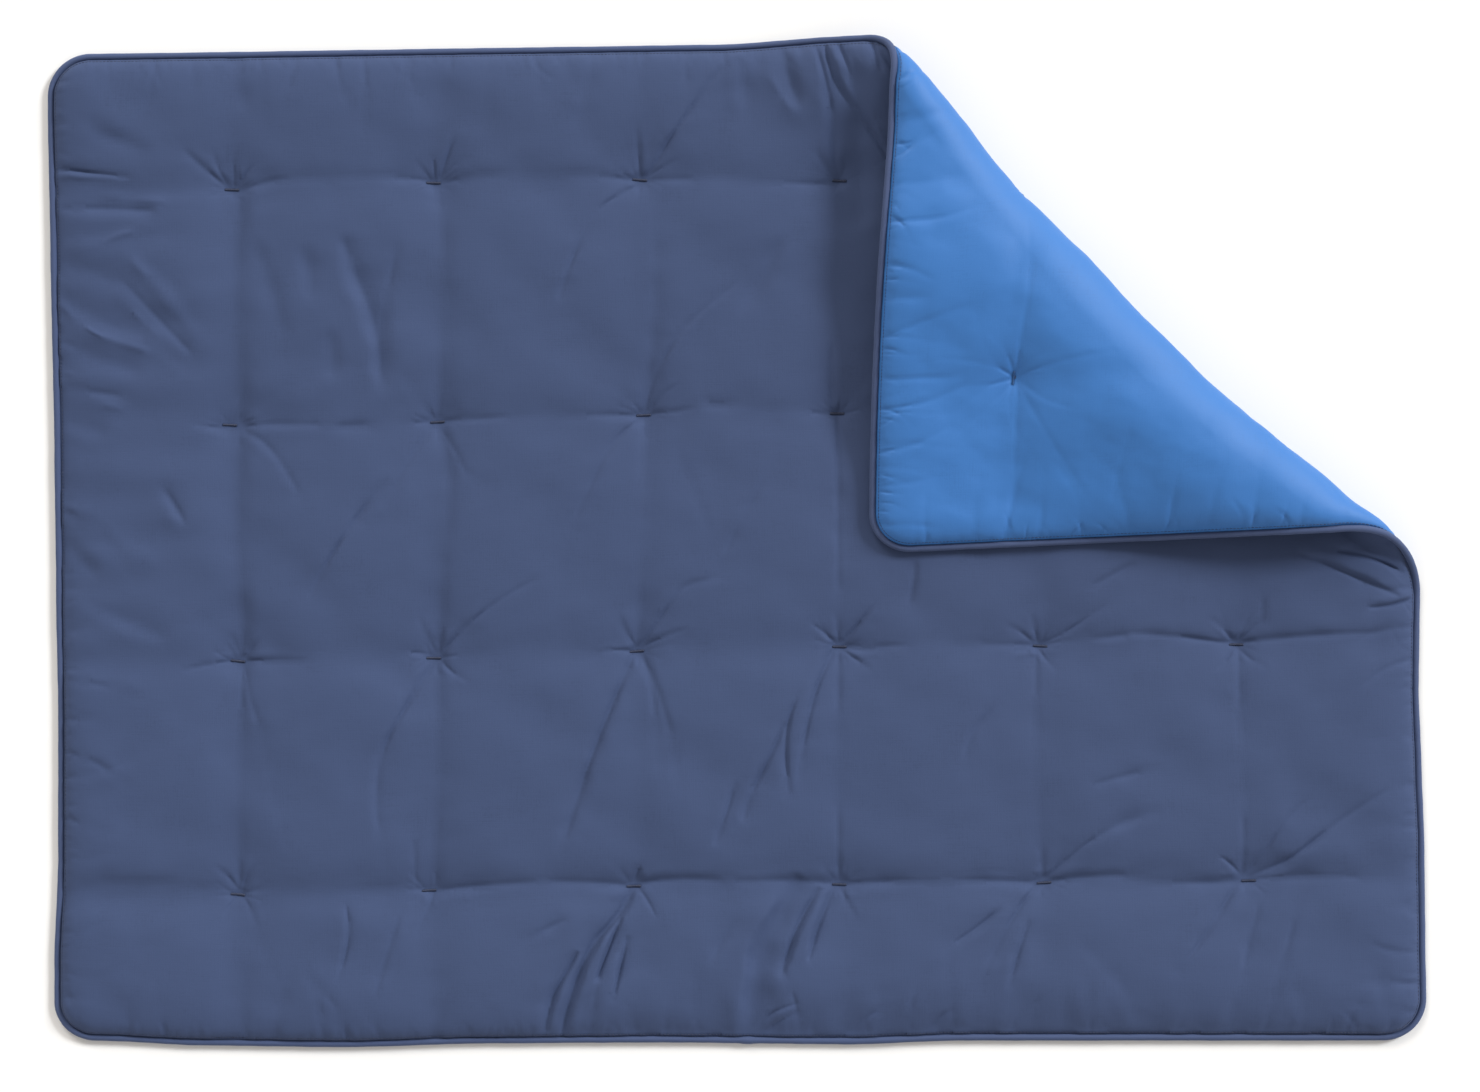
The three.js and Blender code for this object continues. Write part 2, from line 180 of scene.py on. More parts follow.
def lay_out(x, y):
    """Where a point of the regular cloth lies in the real, uneven one."""
    px = np.array(x, float)
    py = y + ROW_TILT * x * smooth((y + HEIGHT / 2) / ROW_TILT_START)
    for number, (tx, ty) in enumerate(TUFTS):
        row, column = divmod(number, TUFT_COLUMNS)
        away = np.hypot(x - tx, y - ty) / TUFT_PULL_WIDTH
        pull = np.exp(-0.5 * away * away)
        px = px + TUFT_OFFSETS[row][0][column] * pull
        py = py + TUFT_OFFSETS[row][1][column] * pull

    def fade(distance):
        return np.exp(-np.maximum(distance, 0) / EDGE_WANDER_REACH)

    px = px - read_table(WANDER_LEFT, y, 1) * fade(WIDTH / 2 + x)
    px = px + read_table(WANDER_RIGHT, y, 1) * fade(WIDTH / 2 - x)
    py = py - read_table(WANDER_BOTTOM, x, 1) * fade(HEIGHT / 2 + y)
    py = py + read_table(WANDER_TOP, x, 1) * fade(HEIGHT / 2 - y)
    return px, py


CORNER_PLACE = [float(v) for v in lay_out(np.array(WIDTH / 2), np.array(HEIGHT / 2))]


def flap_bow(from_side):
    """How far the flap's left edge bows to the right, away from the corner."""
    return FLAP_BOW * (np.maximum(from_side, 0) / FLAP_BOW_LENGTH) ** FLAP_BOW_POWER


def on_flap(fx, fy):
    """Where a laid-out point lies once it is folded over, and how far it is from the side edge."""
    from_side = CORNER_PLACE[0] - fx
    from_top = CORNER_PLACE[1] + ROW_TILT * (fx - CORNER_PLACE[0]) - fy
    px = FLAP_CORNER[0] + FLAP_UP[0] * from_side + FLAP_ACROSS[0] * from_top + flap_bow(from_side)
    py = FLAP_CORNER[1] + FLAP_UP[1] * from_side + FLAP_ACROSS[1] * from_top
    return px, py, from_side


def off_flap(px, py):
    """The laid-out point that lies at a place on the flap."""
    from_side = (py - FLAP_CORNER[1]) / FLAP_UP[1]
    for _ in range(SOLVE_ROUNDS):
        from_top = (px - FLAP_CORNER[0] - flap_bow(from_side)) / FLAP_ACROSS[0]
        from_side = (py - FLAP_CORNER[1] - FLAP_ACROSS[1] * from_top) / FLAP_UP[1]
    fx = CORNER_PLACE[0] - from_side
    return fx, CORNER_PLACE[1] + ROW_TILT * (fx - CORNER_PLACE[0]) - from_top


def along_fold(px, py):
    return (px - FOLD_TOP[0]) * ALONG_FOLD[0] + (py - FOLD_TOP[1]) * ALONG_FOLD[1]


def out_of_fold(px, py):
    return (px - FOLD_TOP[0]) * OUT_OF_FOLD[0] + (py - FOLD_TOP[1]) * OUT_OF_FOLD[1]


def from_fold(along, out):
    return (
        FOLD_TOP[0] + ALONG_FOLD[0] * along + OUT_OF_FOLD[0] * out,
        FOLD_TOP[1] + ALONG_FOLD[1] * along + OUT_OF_FOLD[1] * out,
    )


def bend_at(along):
    """The bend at places along the fold: its reach, radius, start and length, and where the cloth
    lands past it, along and across the fold."""
    reach = read_table(FOLD_SHAPE, along, 1)
    radius = read_table(FOLD_SHAPE, along, 2)
    start = reach - radius
    length = math.pi * radius
    lx, ly, _ = on_flap(*from_fold(along, start + length))
    for _ in range(SOLVE_ROUNDS):
        length = length + BEND_SPREAD * radius - (reach - out_of_fold(lx, ly))
        lx, ly, _ = on_flap(*from_fold(along, start + length))
    return reach, radius, start, length, along_fold(lx, ly), reach - out_of_fold(lx, ly)


def past_bend(fx, fy):
    """How far laid-out points lie past the start of the bend, and the bend's length there."""
    _, _, start, length, _, _ = bend_at(along_fold(fx, fy))
    return out_of_fold(fx, fy) - start, length


def stack_lift(px, py):
    away = np.hypot(px - LIFT_CENTRE[0], py - LIFT_CENTRE[1]) / LIFT_WIDTH
    return LIFT_HEIGHT * np.exp(-0.5 * away * away)


def place_cloth(x, y, side, rise):
    """Puts points of the regular cloth in space, as the part's source does."""
    x = np.asarray(x, float)
    y = np.asarray(y, float)
    rise = rise + np.zeros_like(x)
    fx, fy = lay_out(x, y)
    along = along_fold(fx, fy)
    reach, radius, start, length, landed, spread = bend_at(along)
    past = out_of_fold(fx, fy) - start
    height = cloth_height(x, y)
    low = underside(x, y)

    flat = np.stack([fx, fy, low + 0.5 * height * (1 + side) + rise + stack_lift(fx, fy)], -1)

    qx, qy, from_side = on_flap(fx, fy)
    edge_rise = FLAP_EDGE_RISE * smooth(from_side / FLAP_BOW_LENGTH)
    rest = PILLOW_HEIGHT + FLAP_GAP + edge_rise
    descent = smooth((past - length) / (FLAP_DESCENT * radius + PILLOW_HEIGHT))
    under = mix(2 * radius, rest, descent)
    flap = np.stack([qx, qy, under + 0.5 * height * (1 - side) - rise + stack_lift(qx, qy)], -1)

    turn = math.pi * np.clip(past / length, 0, 1)
    over = 0.5 * (1 - np.cos(turn))
    width = np.where(turn < math.pi / 2, radius, spread)
    squeezed = height * (1 - BEND_SQUEEZE * np.sin(turn))
    inward_x = -radius * np.sin(turn)
    inward_z = width * np.cos(turn)
    norm = np.hypot(inward_x, inward_z)
    offset = 0.5 * squeezed * side + rise
    out = reach - width * (1 - np.sin(turn)) + inward_x / norm * offset
    mx, my = from_fold(mix(along, landed, over), out)
    z = low * (1 - over) + 0.5 * squeezed + 2 * radius * over + inward_z / norm * offset
    bend = np.stack([mx, my, z + stack_lift(mx, my)], -1)

    on_base = (past <= 0)[..., None]
    beyond = (past >= length)[..., None]
    return np.where(on_base, flat, np.where(beyond, flap, bend))


def from_picture(px, py, height):
    """The blanket's own millimetres under a pixel of the photograph, at a height over the floor."""
    scale = PIXEL * (CAMERA_HEIGHT - height) / CAMERA_HEIGHT
    return (px - PICTURE[0] / 2) * scale + CAMERA_OFF[0], (PICTURE[1] / 2 - py) * scale + CAMERA_OFF[1]


def on_face(px, py):
    """The laid-out point of the face under a pixel of the photograph."""
    return from_picture(px, py, PILLOW_HEIGHT)


def on_blue(px, py):
    """The laid-out point of the folded corner's back under a pixel of the photograph."""
    return off_flap(*from_picture(px, py, FLAP_VIEW_HEIGHT))


# Creases pulled in by the tufts and the edge, each read from the photograph: depth in
# millimetres, below zero for a ridge, half width in millimetres, where it fades, and then its line,
# each point's x and y in pixels
FACE_CREASES = [
    (2.4, 6, "end", 231, 191, 222, 184, 200, 165, 179, 146),
    (1.6, 4, "end", 229, 190, 216, 168, 212, 150),
    (1.4, 4, "end", 232, 190, 232, 165, 235, 145),
    (1.2, 4, "end", 234, 190, 246, 170, 262, 158),
    (2.6, 8, "none", 236, 191, 258, 183, 283, 178, 350, 176, 425, 178, 434, 184),
    (1.8, 8, "none", 434, 184, 470, 176, 540, 174, 600, 175, 640, 180),
    (2, 8, "none", 640, 180, 690, 178, 740, 180, 787, 183, 840, 184),
    (3, 12, "none", 238, 192, 235, 260, 237, 340, 238, 425),
    (1.6, 4, "end", 434, 184, 434, 168, 431, 150),
    (2.4, 5, "end", 436, 184, 441, 172, 455, 132),
    (1.3, 4, "end", 432, 184, 424, 170, 413, 158),
    (2.2, 6, "end", 640, 180, 650, 172, 670, 137, 698, 99, 717, 71, 737, 55),
    (2.2, 5, "end", 640, 180, 638, 150, 636, 120),
    (1.3, 4, "end", 642, 180, 662, 166, 684, 156),
    (1.5, 5, "end", 640, 182, 600, 205, 585, 227),
    (1.5, 10, "both", 250, 232, 262, 262, 272, 290, 285, 340),
    (4.6, 10, "both", 342, 236, 351, 268, 366, 300, 377, 338, 381, 392),
    (1.5, 8, "both", 398, 240, 390, 278, 383, 310, 380, 340),
    (1.8, 9, "both", 300, 245, 308, 270, 310, 300),
    (1.8, 10, "both", 330, 330, 334, 355, 332, 380),
    (4.4, 4, "end", 56, 168, 90, 172, 131, 177),
    (-0.9, 7, "both", 58, 188, 110, 197, 165, 202, 225, 197),
    (4, 8, "both", 60, 208, 105, 208, 156, 211),
    (-1.2, 7, "both", 58, 247, 97, 245, 118, 234, 168, 223),
    (4.6, 11, "end", 58, 264, 90, 272, 122, 286),
    (-1.5, 9, "both", 118, 248, 148, 277, 170, 302, 199, 340),
    (2, 7, "both", 118, 277, 150, 311, 172, 334, 196, 358),
    (-1.2, 7, "both", 106, 285, 136, 316, 160, 338),
    (4.8, 10, "both", 56, 292, 95, 320, 146, 336),
    (-1.8, 6, "end", 57, 303, 88, 331, 120, 343, 152, 352, 198, 386),
    (4.6, 9, "both", 56, 338, 95, 360, 140, 372),
    (-1.5, 5, "end", 58, 371, 80, 377, 108, 380),
    (3.6, 8, "both", 60, 388, 100, 393, 130, 397),
    (-0.9, 6, "both", 84, 399, 110, 406, 134, 412),
    (4, 9, "both", 54, 420, 80, 427, 104, 434),
    (-1, 4, "end", 58, 455, 76, 458, 94, 460),
    (-1.2, 6, "end", 58, 503, 80, 512, 104, 520),
    (3.8, 10, "both", 54, 538, 78, 558, 98, 576),
    (2.2, 8, "both", 158, 482, 172, 502, 186, 526),
    (-0.8, 10, "both", 90, 520, 125, 545, 162, 568),
    (1.8, 9, "both", 80, 600, 125, 622, 168, 640),
    (1.8, 9, "both", 84, 125, 118, 140, 150, 152),
    (2.2, 12, "none", 438, 190, 443, 260, 440, 340, 436, 422),
    (1.8, 10, "end", 644, 415, 650, 360, 655, 300, 654, 190),
    (1.2, 5, "end", 645, 413, 650, 385, 661, 362, 687, 321, 735, 285, 780, 240),
    (1.2, 4, "end", 647, 413, 664, 392, 684, 380),
    (1.4, 7, "both", 588, 222, 572, 258, 557, 302),
    (2.6, 6, "end", 236, 427, 215, 428, 190, 424),
    (1.9, 6, "end", 240, 427, 262, 424, 300, 424, 340, 426),
    (1.8, 7, "none", 340, 426, 390, 424, 434, 422),
    (2, 7, "none", 434, 422, 500, 417, 580, 415, 644, 415),
    (1.3, 5, "end", 644, 415, 680, 411, 708, 404),
    (1.5, 8, "none", 708, 404, 770, 408, 839, 415),
    (3, 12, "none", 238, 430, 236, 500, 240, 580, 241, 661),
    (1.3, 6, "end", 244, 432, 262, 440, 283, 465, 302, 500, 304, 529),
    (2.6, 9, "none", 436, 424, 452, 470, 446, 540, 440, 600, 437, 657),
    (1.1, 5, "end", 437, 426, 455, 450, 468, 480, 500, 486),
    (1.7, 6, "end", 432, 426, 415, 450, 397, 481, 380, 510),
    (1.6, 7, "both", 388, 476, 366, 505, 345, 533, 325, 565, 305, 605),
    (1.3, 6, "end", 641, 418, 612, 440, 588, 490, 571, 529, 560, 575),
    (1.9, 9, "none", 644, 418, 644, 500, 640, 580, 637, 651),
    (0.5, 6, "both", 672, 440, 690, 478, 708, 524, 712, 560),
    (0.7, 6, "both", 782, 440, 765, 480, 740, 520, 718, 570, 690, 596),
    (1.6, 8, "both", 832, 340, 830, 380, 834, 415),
    (2, 7, "end", 839, 415, 838, 470, 838, 560, 839, 647),
    (1.8, 9, "both", 782, 236, 765, 275, 740, 316),
    (2, 5, "end", 241, 661, 225, 662, 200, 666, 179, 671),
    (1.8, 5, "end", 241, 661, 265, 661, 290, 660, 322, 663),
    (0.7, 5, "end", 242, 663, 250, 702, 262, 735, 272, 801, 293, 867),
    (1.8, 8, "none", 241, 664, 240, 740, 238, 820, 238, 894),
    (1.3, 4, "end", 240, 660, 232, 640, 222, 622),
    (1.3, 4, "end", 243, 660, 255, 642, 272, 630),
    (1.7, 4, "end", 437, 657, 430, 645, 420, 618),
    (1.3, 5, "end", 438, 657, 450, 642, 481, 612, 524, 584, 560, 570),
    (1.3, 4, "end", 438, 656, 440, 636, 446, 616),
    (1.3, 4, "end", 436, 657, 416, 652, 396, 656),
    (2.4, 7, "end", 436, 660, 427, 672, 406, 706, 380, 752, 375, 801, 381, 846, 388, 880),
    (1.6, 8, "none", 437, 662, 440, 740, 436, 820, 434, 891),
    (1.4, 4, "end", 438, 659, 452, 674, 472, 684),
    (1.6, 5, "end", 638, 650, 652, 630, 670, 604, 684, 584, 722, 577),
    (1.4, 4, "end", 637, 650, 626, 632, 618, 612),
    (2, 5, "end", 639, 650, 664, 636, 690, 628),
    (1.3, 4, "end", 636, 651, 612, 650, 590, 654),
    (3.2, 8, "both", 640, 640, 624, 676, 609, 711, 588, 765, 572, 815, 558, 856),
    (1.2, 6, "end", 640, 653, 650, 680, 655, 711, 658, 773, 670, 829),
    (1, 6, "end", 641, 653, 658, 690, 670, 730, 680, 780, 684, 830),
    (1.8, 6, "both", 736, 780, 726, 815, 714, 846),
    (1.9, 4, "end", 839, 647, 824, 632, 806, 620),
    (2.6, 5, "end", 839, 647, 852, 632, 880, 598),
    (1.4, 4, "end", 839, 646, 838, 626, 832, 606),
    (1.6, 4, "end", 839, 647, 866, 652, 900, 645),
    (1.6, 4, "end", 839, 648, 860, 662, 874, 672),
    (3.2, 7, "end", 836, 649, 828, 662, 814, 694, 803, 745, 797, 790),
    (2, 6, "both", 800, 690, 787, 722, 785, 760, 790, 800),
    (2.8, 7, "both", 786, 722, 768, 762, 750, 795, 742, 822),
    (1.8, 7, "none", 839, 650, 838, 730, 838, 810, 839, 884),
    (1.6, 4, "end", 1037, 646, 1022, 632, 1006, 624),
    (1.6, 4, "end", 1038, 646, 1036, 628, 1030, 612),
    (2, 5, "end", 1039, 646, 1061, 636, 1085, 620, 1110, 602),
    (1.4, 4, "end", 1037, 647, 1016, 652, 1000, 648),
    (1.4, 4, "end", 1038, 648, 1050, 664, 1058, 672),
    (1.4, 7, "none", 1037, 650, 1036, 730, 1040, 810, 1043, 884),
    (1.8, 6, "none", 839, 647, 900, 646, 970, 644, 1037, 646),
    (2.1, 7, "both", 1112, 634, 1150, 634, 1190, 638, 1236, 645, 1297, 636, 1390, 632),
    (1.8, 6, "none", 1037, 646, 1080, 640, 1125, 636),
    (1.6, 4, "end", 1236, 644, 1222, 626, 1205, 615),
    (1.6, 4, "end", 1237, 644, 1255, 628, 1268, 616),
    (1.6, 4, "end", 1236, 646, 1226, 664, 1212, 672),
    (1.4, 4, "end", 1237, 646, 1254, 662, 1270, 668),
    (0.7, 6, "both", 1262, 588, 1264, 606, 1262, 626),
    (1.3, 7, "both", 1136, 562, 1114, 574, 1089, 588),
    (1.6, 6, "both", 915, 560, 914, 585, 908, 610),
    (1.4, 7, "both", 995, 702, 984, 718, 971, 735, 964, 760),
    (1.4, 8, "both", 1089, 786, 1125, 776, 1165, 768),
    (1.6, 9, "both", 1096, 835, 1130, 818, 1160, 812),
    (0.9, 8, "none", 104, 883, 160, 882, 200, 888, 238, 894, 290, 890, 360, 890, 434, 891),
    (4.4, 8, "none", 434, 892, 510, 884, 570, 882, 636, 887),
    (3.6, 8, "none", 636, 885, 684, 879, 736, 882, 790, 881, 839, 885),
    (4.6, 8, "none", 839, 886, 900, 882, 970, 881, 1043, 884),
    (4.2, 8, "none", 1043, 884, 1085, 878, 1127, 875, 1150, 884, 1200, 884, 1244, 883),
    (2.2, 8, "end", 1244, 882, 1300, 877, 1340, 876, 1396, 882),
    (0.7, 5, "both", 412, 818, 414, 855, 415, 892),
    (1.6, 4, "end", 238, 893, 226, 876, 214, 866),
    (1.6, 4, "end", 239, 893, 246, 876, 256, 862),
    (1.6, 4, "end", 238, 895, 226, 910, 222, 926),
    (0.6, 5, "end", 240, 895, 252, 915, 262, 950, 280, 985, 292, 1006),
    (1.3, 4, "end", 434, 892, 426, 912, 412, 945),
    (1.2, 5, "both", 404, 902, 388, 950, 372, 1005),
    (1.7, 5, "both", 345, 900, 350, 940, 336, 985),
    (8, 7, "both", 640, 868, 626, 905, 610, 925, 594, 942, 584, 962, 574, 990, 565, 1018, 560, 1050),
    (5, 5, "both", 622, 918, 612, 940, 604, 960, 596, 982),
    (6, 5, "both", 578, 952, 562, 980, 551, 1000, 545, 1034),
    (3.4, 5, "both", 628, 936, 620, 970, 612, 1004),
    (1.4, 7, "both", 570, 918, 545, 930, 522, 942),
    (10, 11, "both", 800, 876, 779, 918, 762, 942, 753, 985, 747, 1060),
    (5.6, 6, "both", 820, 888, 800, 920, 790, 950, 780, 978),
    (4.4, 6, "both", 836, 886, 820, 922, 808, 962),
    (1.2, 8, "both", 738, 915, 720, 945, 708, 968),
    (1.1, 4, "end", 636, 886, 652, 908, 664, 940),
    (1.1, 4, "end", 839, 886, 850, 908, 866, 930),
    (2.2, 7, "end", 1040, 884, 1022, 905, 1004, 933, 986, 970, 975, 1000),
    (2.2, 6, "both", 1002, 908, 978, 928, 952, 945),
    (2, 6, "both", 1030, 920, 1018, 955, 1008, 990),
    (3, 7, "end", 1240, 882, 1226, 905, 1198, 947, 1172, 980),
    (1.2, 6, "both", 1262, 900, 1250, 940, 1240, 985),
    (1, 6, "both", 1300, 900, 1290, 940, 1275, 985),
    (1.9, 6, "end", 1046, 880, 1066, 862, 1099, 834, 1151, 815),
    (1.4, 6, "end", 1246, 878, 1262, 858, 1283, 824, 1311, 796, 1340, 772),
    (3.6, 7, "end", 1250, 879, 1288, 862, 1330, 829, 1365, 804, 1395, 785),
    (1.7, 4, "end", 1244, 878, 1230, 862, 1208, 850),
    (1.8, 8, "none", 1240, 650, 1240, 730, 1244, 810, 1244, 876),
    (5, 5, "both", 822, 30, 832, 78, 850, 105, 880, 145, 892, 165),
    (3.2, 5, "end", 838, 44, 850, 75, 857, 104),
    (3.6, 5, "end", 872, 42, 876, 60, 882, 76),
    (3.2, 7, "both", 814, 40, 828, 90, 834, 130, 836, 170),
    (2.6, 9, "both", 780, 44, 788, 75, 800, 108),
    (-1.2, 8, "both", 792, 50, 806, 76, 818, 104),
    (-1, 8, "both", 764, 66, 782, 98, 802, 124),
    (1.8, 9, "both", 738, 56, 744, 85, 748, 118),
    (1.4, 5, "end", 838, 183, 826, 166, 814, 150),
    (1.4, 5, "end", 840, 182, 848, 160, 860, 140),
    (4, 16, "both", 850, 50, 860, 100, 858, 160, 862, 230),
    (4.2, 90, "both", 56, 130, 56, 300, 56, 430, 56, 680),
    (3.4, 40, "both", 500, 1034, 900, 1034, 1200, 1034, 1400, 1032),
    (3, 4, "end", 752, 1036, 772, 1012, 800, 1003),
    (2.4, 4, "end", 762, 1037, 784, 1018, 806, 1010),
    (2.2, 5, "end", 850, 1036, 870, 1014, 890, 1006),
    (2.4, 5, "end", 926, 1036, 940, 1016, 958, 1008),
    (2.2, 5, "end", 1010, 1036, 1022, 1012, 1040, 1000),
    (3.2, 7, "both", 1296, 552, 1345, 572, 1402, 597),
    (3, 5, "both", 1336, 550, 1372, 558, 1410, 572),
    (2.8, 5, "both", 1366, 608, 1390, 606, 1414, 598),
]
FLAP_CREASES = [
    (2.5, 6, "end", 1017, 374, 1018, 345, 1023, 318, 1030, 270, 1028, 230, 1021, 195),
    (2.3, 7, "end", 1017, 380, 1016, 425, 1014, 486, 1012, 520),
    (1.4, 5, "end", 1019, 376, 1045, 366, 1094, 354, 1130, 352),
    (1.4, 5, "end", 1019, 380, 1042, 401, 1080, 411),
    (1.2, 6, "end", 1018, 384, 1040, 425, 1070, 472, 1099, 515),
    (1, 8, "both", 1129, 420, 1118, 470, 1108, 519),
    (1.3, 5, "end", 1014, 376, 992, 366, 960, 360, 925, 360),
    (1.2, 5, "end", 1014, 380, 990, 385, 950, 388),
    (1, 5, "end", 1016, 374, 1004, 350, 985, 332),
    (1, 5, "end", 1016, 383, 1002, 404, 985, 420),
    (1.3, 4, "end", 878, 338, 905, 337, 940, 344),
    (1.3, 4, "end", 878, 354, 910, 356, 930, 354),
    (1.3, 5, "end", 877, 385, 910, 380, 965, 374),
    (1.3, 4, "end", 877, 415, 905, 412, 950, 416),
    (1.4, 5, "end", 877, 446, 915, 442, 965, 450),
    (1.3, 4, "end", 878, 467, 905, 468, 930, 474),
    (1.2, 4, "end", 884, 280, 905, 282, 932, 290),
    (1, 4, "end", 886, 240, 905, 244, 925, 250),
    (1, 4, "end", 890, 190, 905, 196, 922, 205),
    (1, 4, "end", 893, 140, 906, 150, 920, 160),
]

ROUNDINGS = 2
CORNER_CUT = 0.25


def rounded(points):
    """The same line with its bends rounded off."""
    if len(points) < 3:
        return points
    for _ in range(ROUNDINGS):
        near = (1 - CORNER_CUT) * points[:-1] + CORNER_CUT * points[1:]
        far = CORNER_CUT * points[:-1] + (1 - CORNER_CUT) * points[1:]
        points = np.concatenate([points[:1], np.stack([near, far], 1).reshape(-1, 2)[1:-1], points[-1:]])
    return points


# Across a crease, in its half widths: how far it is felt, its steep and its soft side, the sharp slit
# in a narrow one, the low bank beside the steep side, and what is left of its width where it is weak
CREASE_FIELD = 5
STEEP_SIDE = 0.8
SOFT_SIDE = 1.5
SIDE_POWER = 1.4
SLIT_SHARE = 0.5
SLIT_WIDTH = 0.42
WIDEST_SLIT = 9
BANK_HEIGHT = 0.12
BANK_PLACE = 2.4
BANK_WIDTH = 1.2
WEAK_WIDTH = 0.7

# Along a crease: how it dies out, what is left of a line between two tufts, and how uneven it is
END_POWER = 0.8
BOTH_POWER = 0.7
LINE_SHARE = 0.7
LINE_LEVEL = 0.62
SWAY = 0.2
SWAY_LENGTH = 9
SWAY_SHIFT = 2.4


def nearest_on_line(px, py, points):
    """How far places are from a line, where along it their nearest point is from 0 to 1, whether they
    are on its left, and the line's length."""
    steps = np.linalg.norm(np.diff(points, axis=0), axis=1)
    away = np.full(len(px), np.inf)
    where = np.zeros(len(px))
    left = np.zeros(len(px), bool)
    done = 0.0
    for a, b, step in zip(points[:-1], points[1:], steps):
        along = (px - a[0]) * (b[0] - a[0]) + (py - a[1]) * (b[1] - a[1])
        across = (py - a[1]) * (b[0] - a[0]) - (px - a[0]) * (b[1] - a[1])
        share = np.clip(along / step**2, 0, 1)
        off = np.hypot(px - mix(a[0], b[0], share), py - mix(a[1], b[1], share))
        nearer = off < away
        away = np.where(nearer, off, away)
        left = np.where(nearer, across > 0, left)
        where = np.where(nearer, done + share * step, where)
        done += step
    return away, np.clip(where / steps.sum(), 0, 1), left, steps.sum()


def crease_relief(lx, ly, creases, to_cloth):
    """How far the creases draw the cloth in, at laid-out points. One side of a crease is steeper."""
    relief = np.zeros_like(lx)
    for number, (depth, width, fades, *line) in enumerate(creases):
        points = rounded(np.array(to_cloth(*np.reshape(line, (-1, 2)).T)).T)
        low, high = points.min(0) - CREASE_FIELD * width, points.max(0) + CREASE_FIELD * width
        near = np.nonzero((lx > low[0]) & (lx < high[0]) & (ly > low[1]) & (ly < high[1]))
        if not len(near[0]):
            continue
        away, where, left, long = nearest_on_line(lx[near], ly[near], points)
        if fades == "end":
            strength = (1 - where) ** END_POWER
        elif fades == "both":
            strength = np.maximum(np.sin(math.pi * where), 0) ** BOTH_POWER
        else:
            strength = LINE_SHARE * (LINE_LEVEL + (1 - LINE_LEVEL) * np.cos(2 * math.pi * where))
        strength = strength * (1 + SWAY * np.sin(long / SWAY_LENGTH * where + SWAY_SHIFT * number))
        steep = left if number % 2 else ~left
        spread = width * mix(WEAK_WIDTH, 1, strength) * np.where(steep, STEEP_SIDE, SOFT_SIDE)
        slit = np.exp(-((away / (SLIT_WIDTH * width)) ** 2))
        slit_share = SLIT_SHARE if width < WIDEST_SLIT else 0
        groove = mix(np.exp(-((away / spread) ** SIDE_POWER)), slit, slit_share)
        bank = np.exp(-(((away - BANK_PLACE * spread) / (BANK_WIDTH * spread)) ** 2))
        relief[near] += depth * strength * (BANK_HEIGHT * bank * steep - groove)
    return relief


# Creases that run in from the sewn edge: how far apart they are, their length, depth, half width and
# slant. Small puckers lie between broad gathers.
PUCKERS = [
    ((10, 22), (14, 50), (1.1, 3.2), (2.2, 4), 0.5),
    ((34, 66), (60, 140), (1.8, 3.8), (6, 10), 0.35),
]
PUCKER_MARGIN = 30
PUCKER_CURVE = 0.4
PUCKER_BEND = 0.12

# Random sizes are raised to this power, so that small ones are more frequent
SMALL_MORE = 1.5


def edge_puckers(rng):
    """Creases that run in from the sewn edge, in the regular cloth."""
    half = np.array([HALF_WIDTH, HALF_HEIGHT])
    found = []
    for spacing, length, depth, width, slant in PUCKERS:
        for along in np.array([(1, 0), (0, 1), (-1, 0), (0, -1)]):
            inward = np.array([-along[1], along[0]])
            start = -half * (along + inward)
            at = PUCKER_MARGIN
            while at < 2 * half @ abs(along) - PUCKER_MARGIN:
                reach = mix(*length, rng.random() ** SMALL_MORE)
                end = slant * rng.normal()
                middle = end * PUCKER_CURVE + PUCKER_BEND * rng.normal()
                points = [
                    start + along * (at + lean * reach * share) + inward * (reach * share - 1)
                    for share, lean in ((0, 0), (0.5, middle), (1, end))
                ]
                strength = mix(*depth, rng.random() ** SMALL_MORE)
                found.append((strength, mix(*width, rng.random()), "end", *points))
                at += rng.uniform(*spacing)
    return found


# Fine creases round each tuft: how many, their least and greatest reach, depth and half width, how
# much smaller they are below the tuft, how unevenly they are spread and how much they bend. Each
# starts a little off the tuft, sets in over a short way, and is narrowest there.
TUFT_RAYS = 10
RAY_REACH = (16, 60)
RAY_DEPTH = (0.8, 2.2)
RAY_WIDTH = (1.9, 3.2)
LOWER_RAYS = 0.6
RAY_SCATTER = 0.75
RAY_BEND = 0.004
RAY_START = 6
RAY_FIELD = 130
RAY_ONSET = (6, 0.3)
RAY_NARROWEST = 0.8
RAY_WIDENING = 0.01
RAY_WIDEST = 60


def tuft_rays(rng):
    """Fine creases that fan out from each tuft: direction, reach, depth, half width and bend."""
    found = []
    for _ in TUFTS:
        rays = []
        for ray in range(TUFT_RAYS):
            angle = 2 * math.pi * (ray + RAY_SCATTER * rng.random()) / TUFT_RAYS
            depth = rng.random()
            upward = 1 if math.sin(angle) > 0 else LOWER_RAYS
            reach = upward * mix(*RAY_REACH, rng.random() ** SMALL_MORE)
            width = mix(*RAY_WIDTH, rng.random())
            rays.append((angle, reach, upward * mix(*RAY_DEPTH, depth), width, RAY_BEND * rng.normal()))
        found.append(rays)
    return found


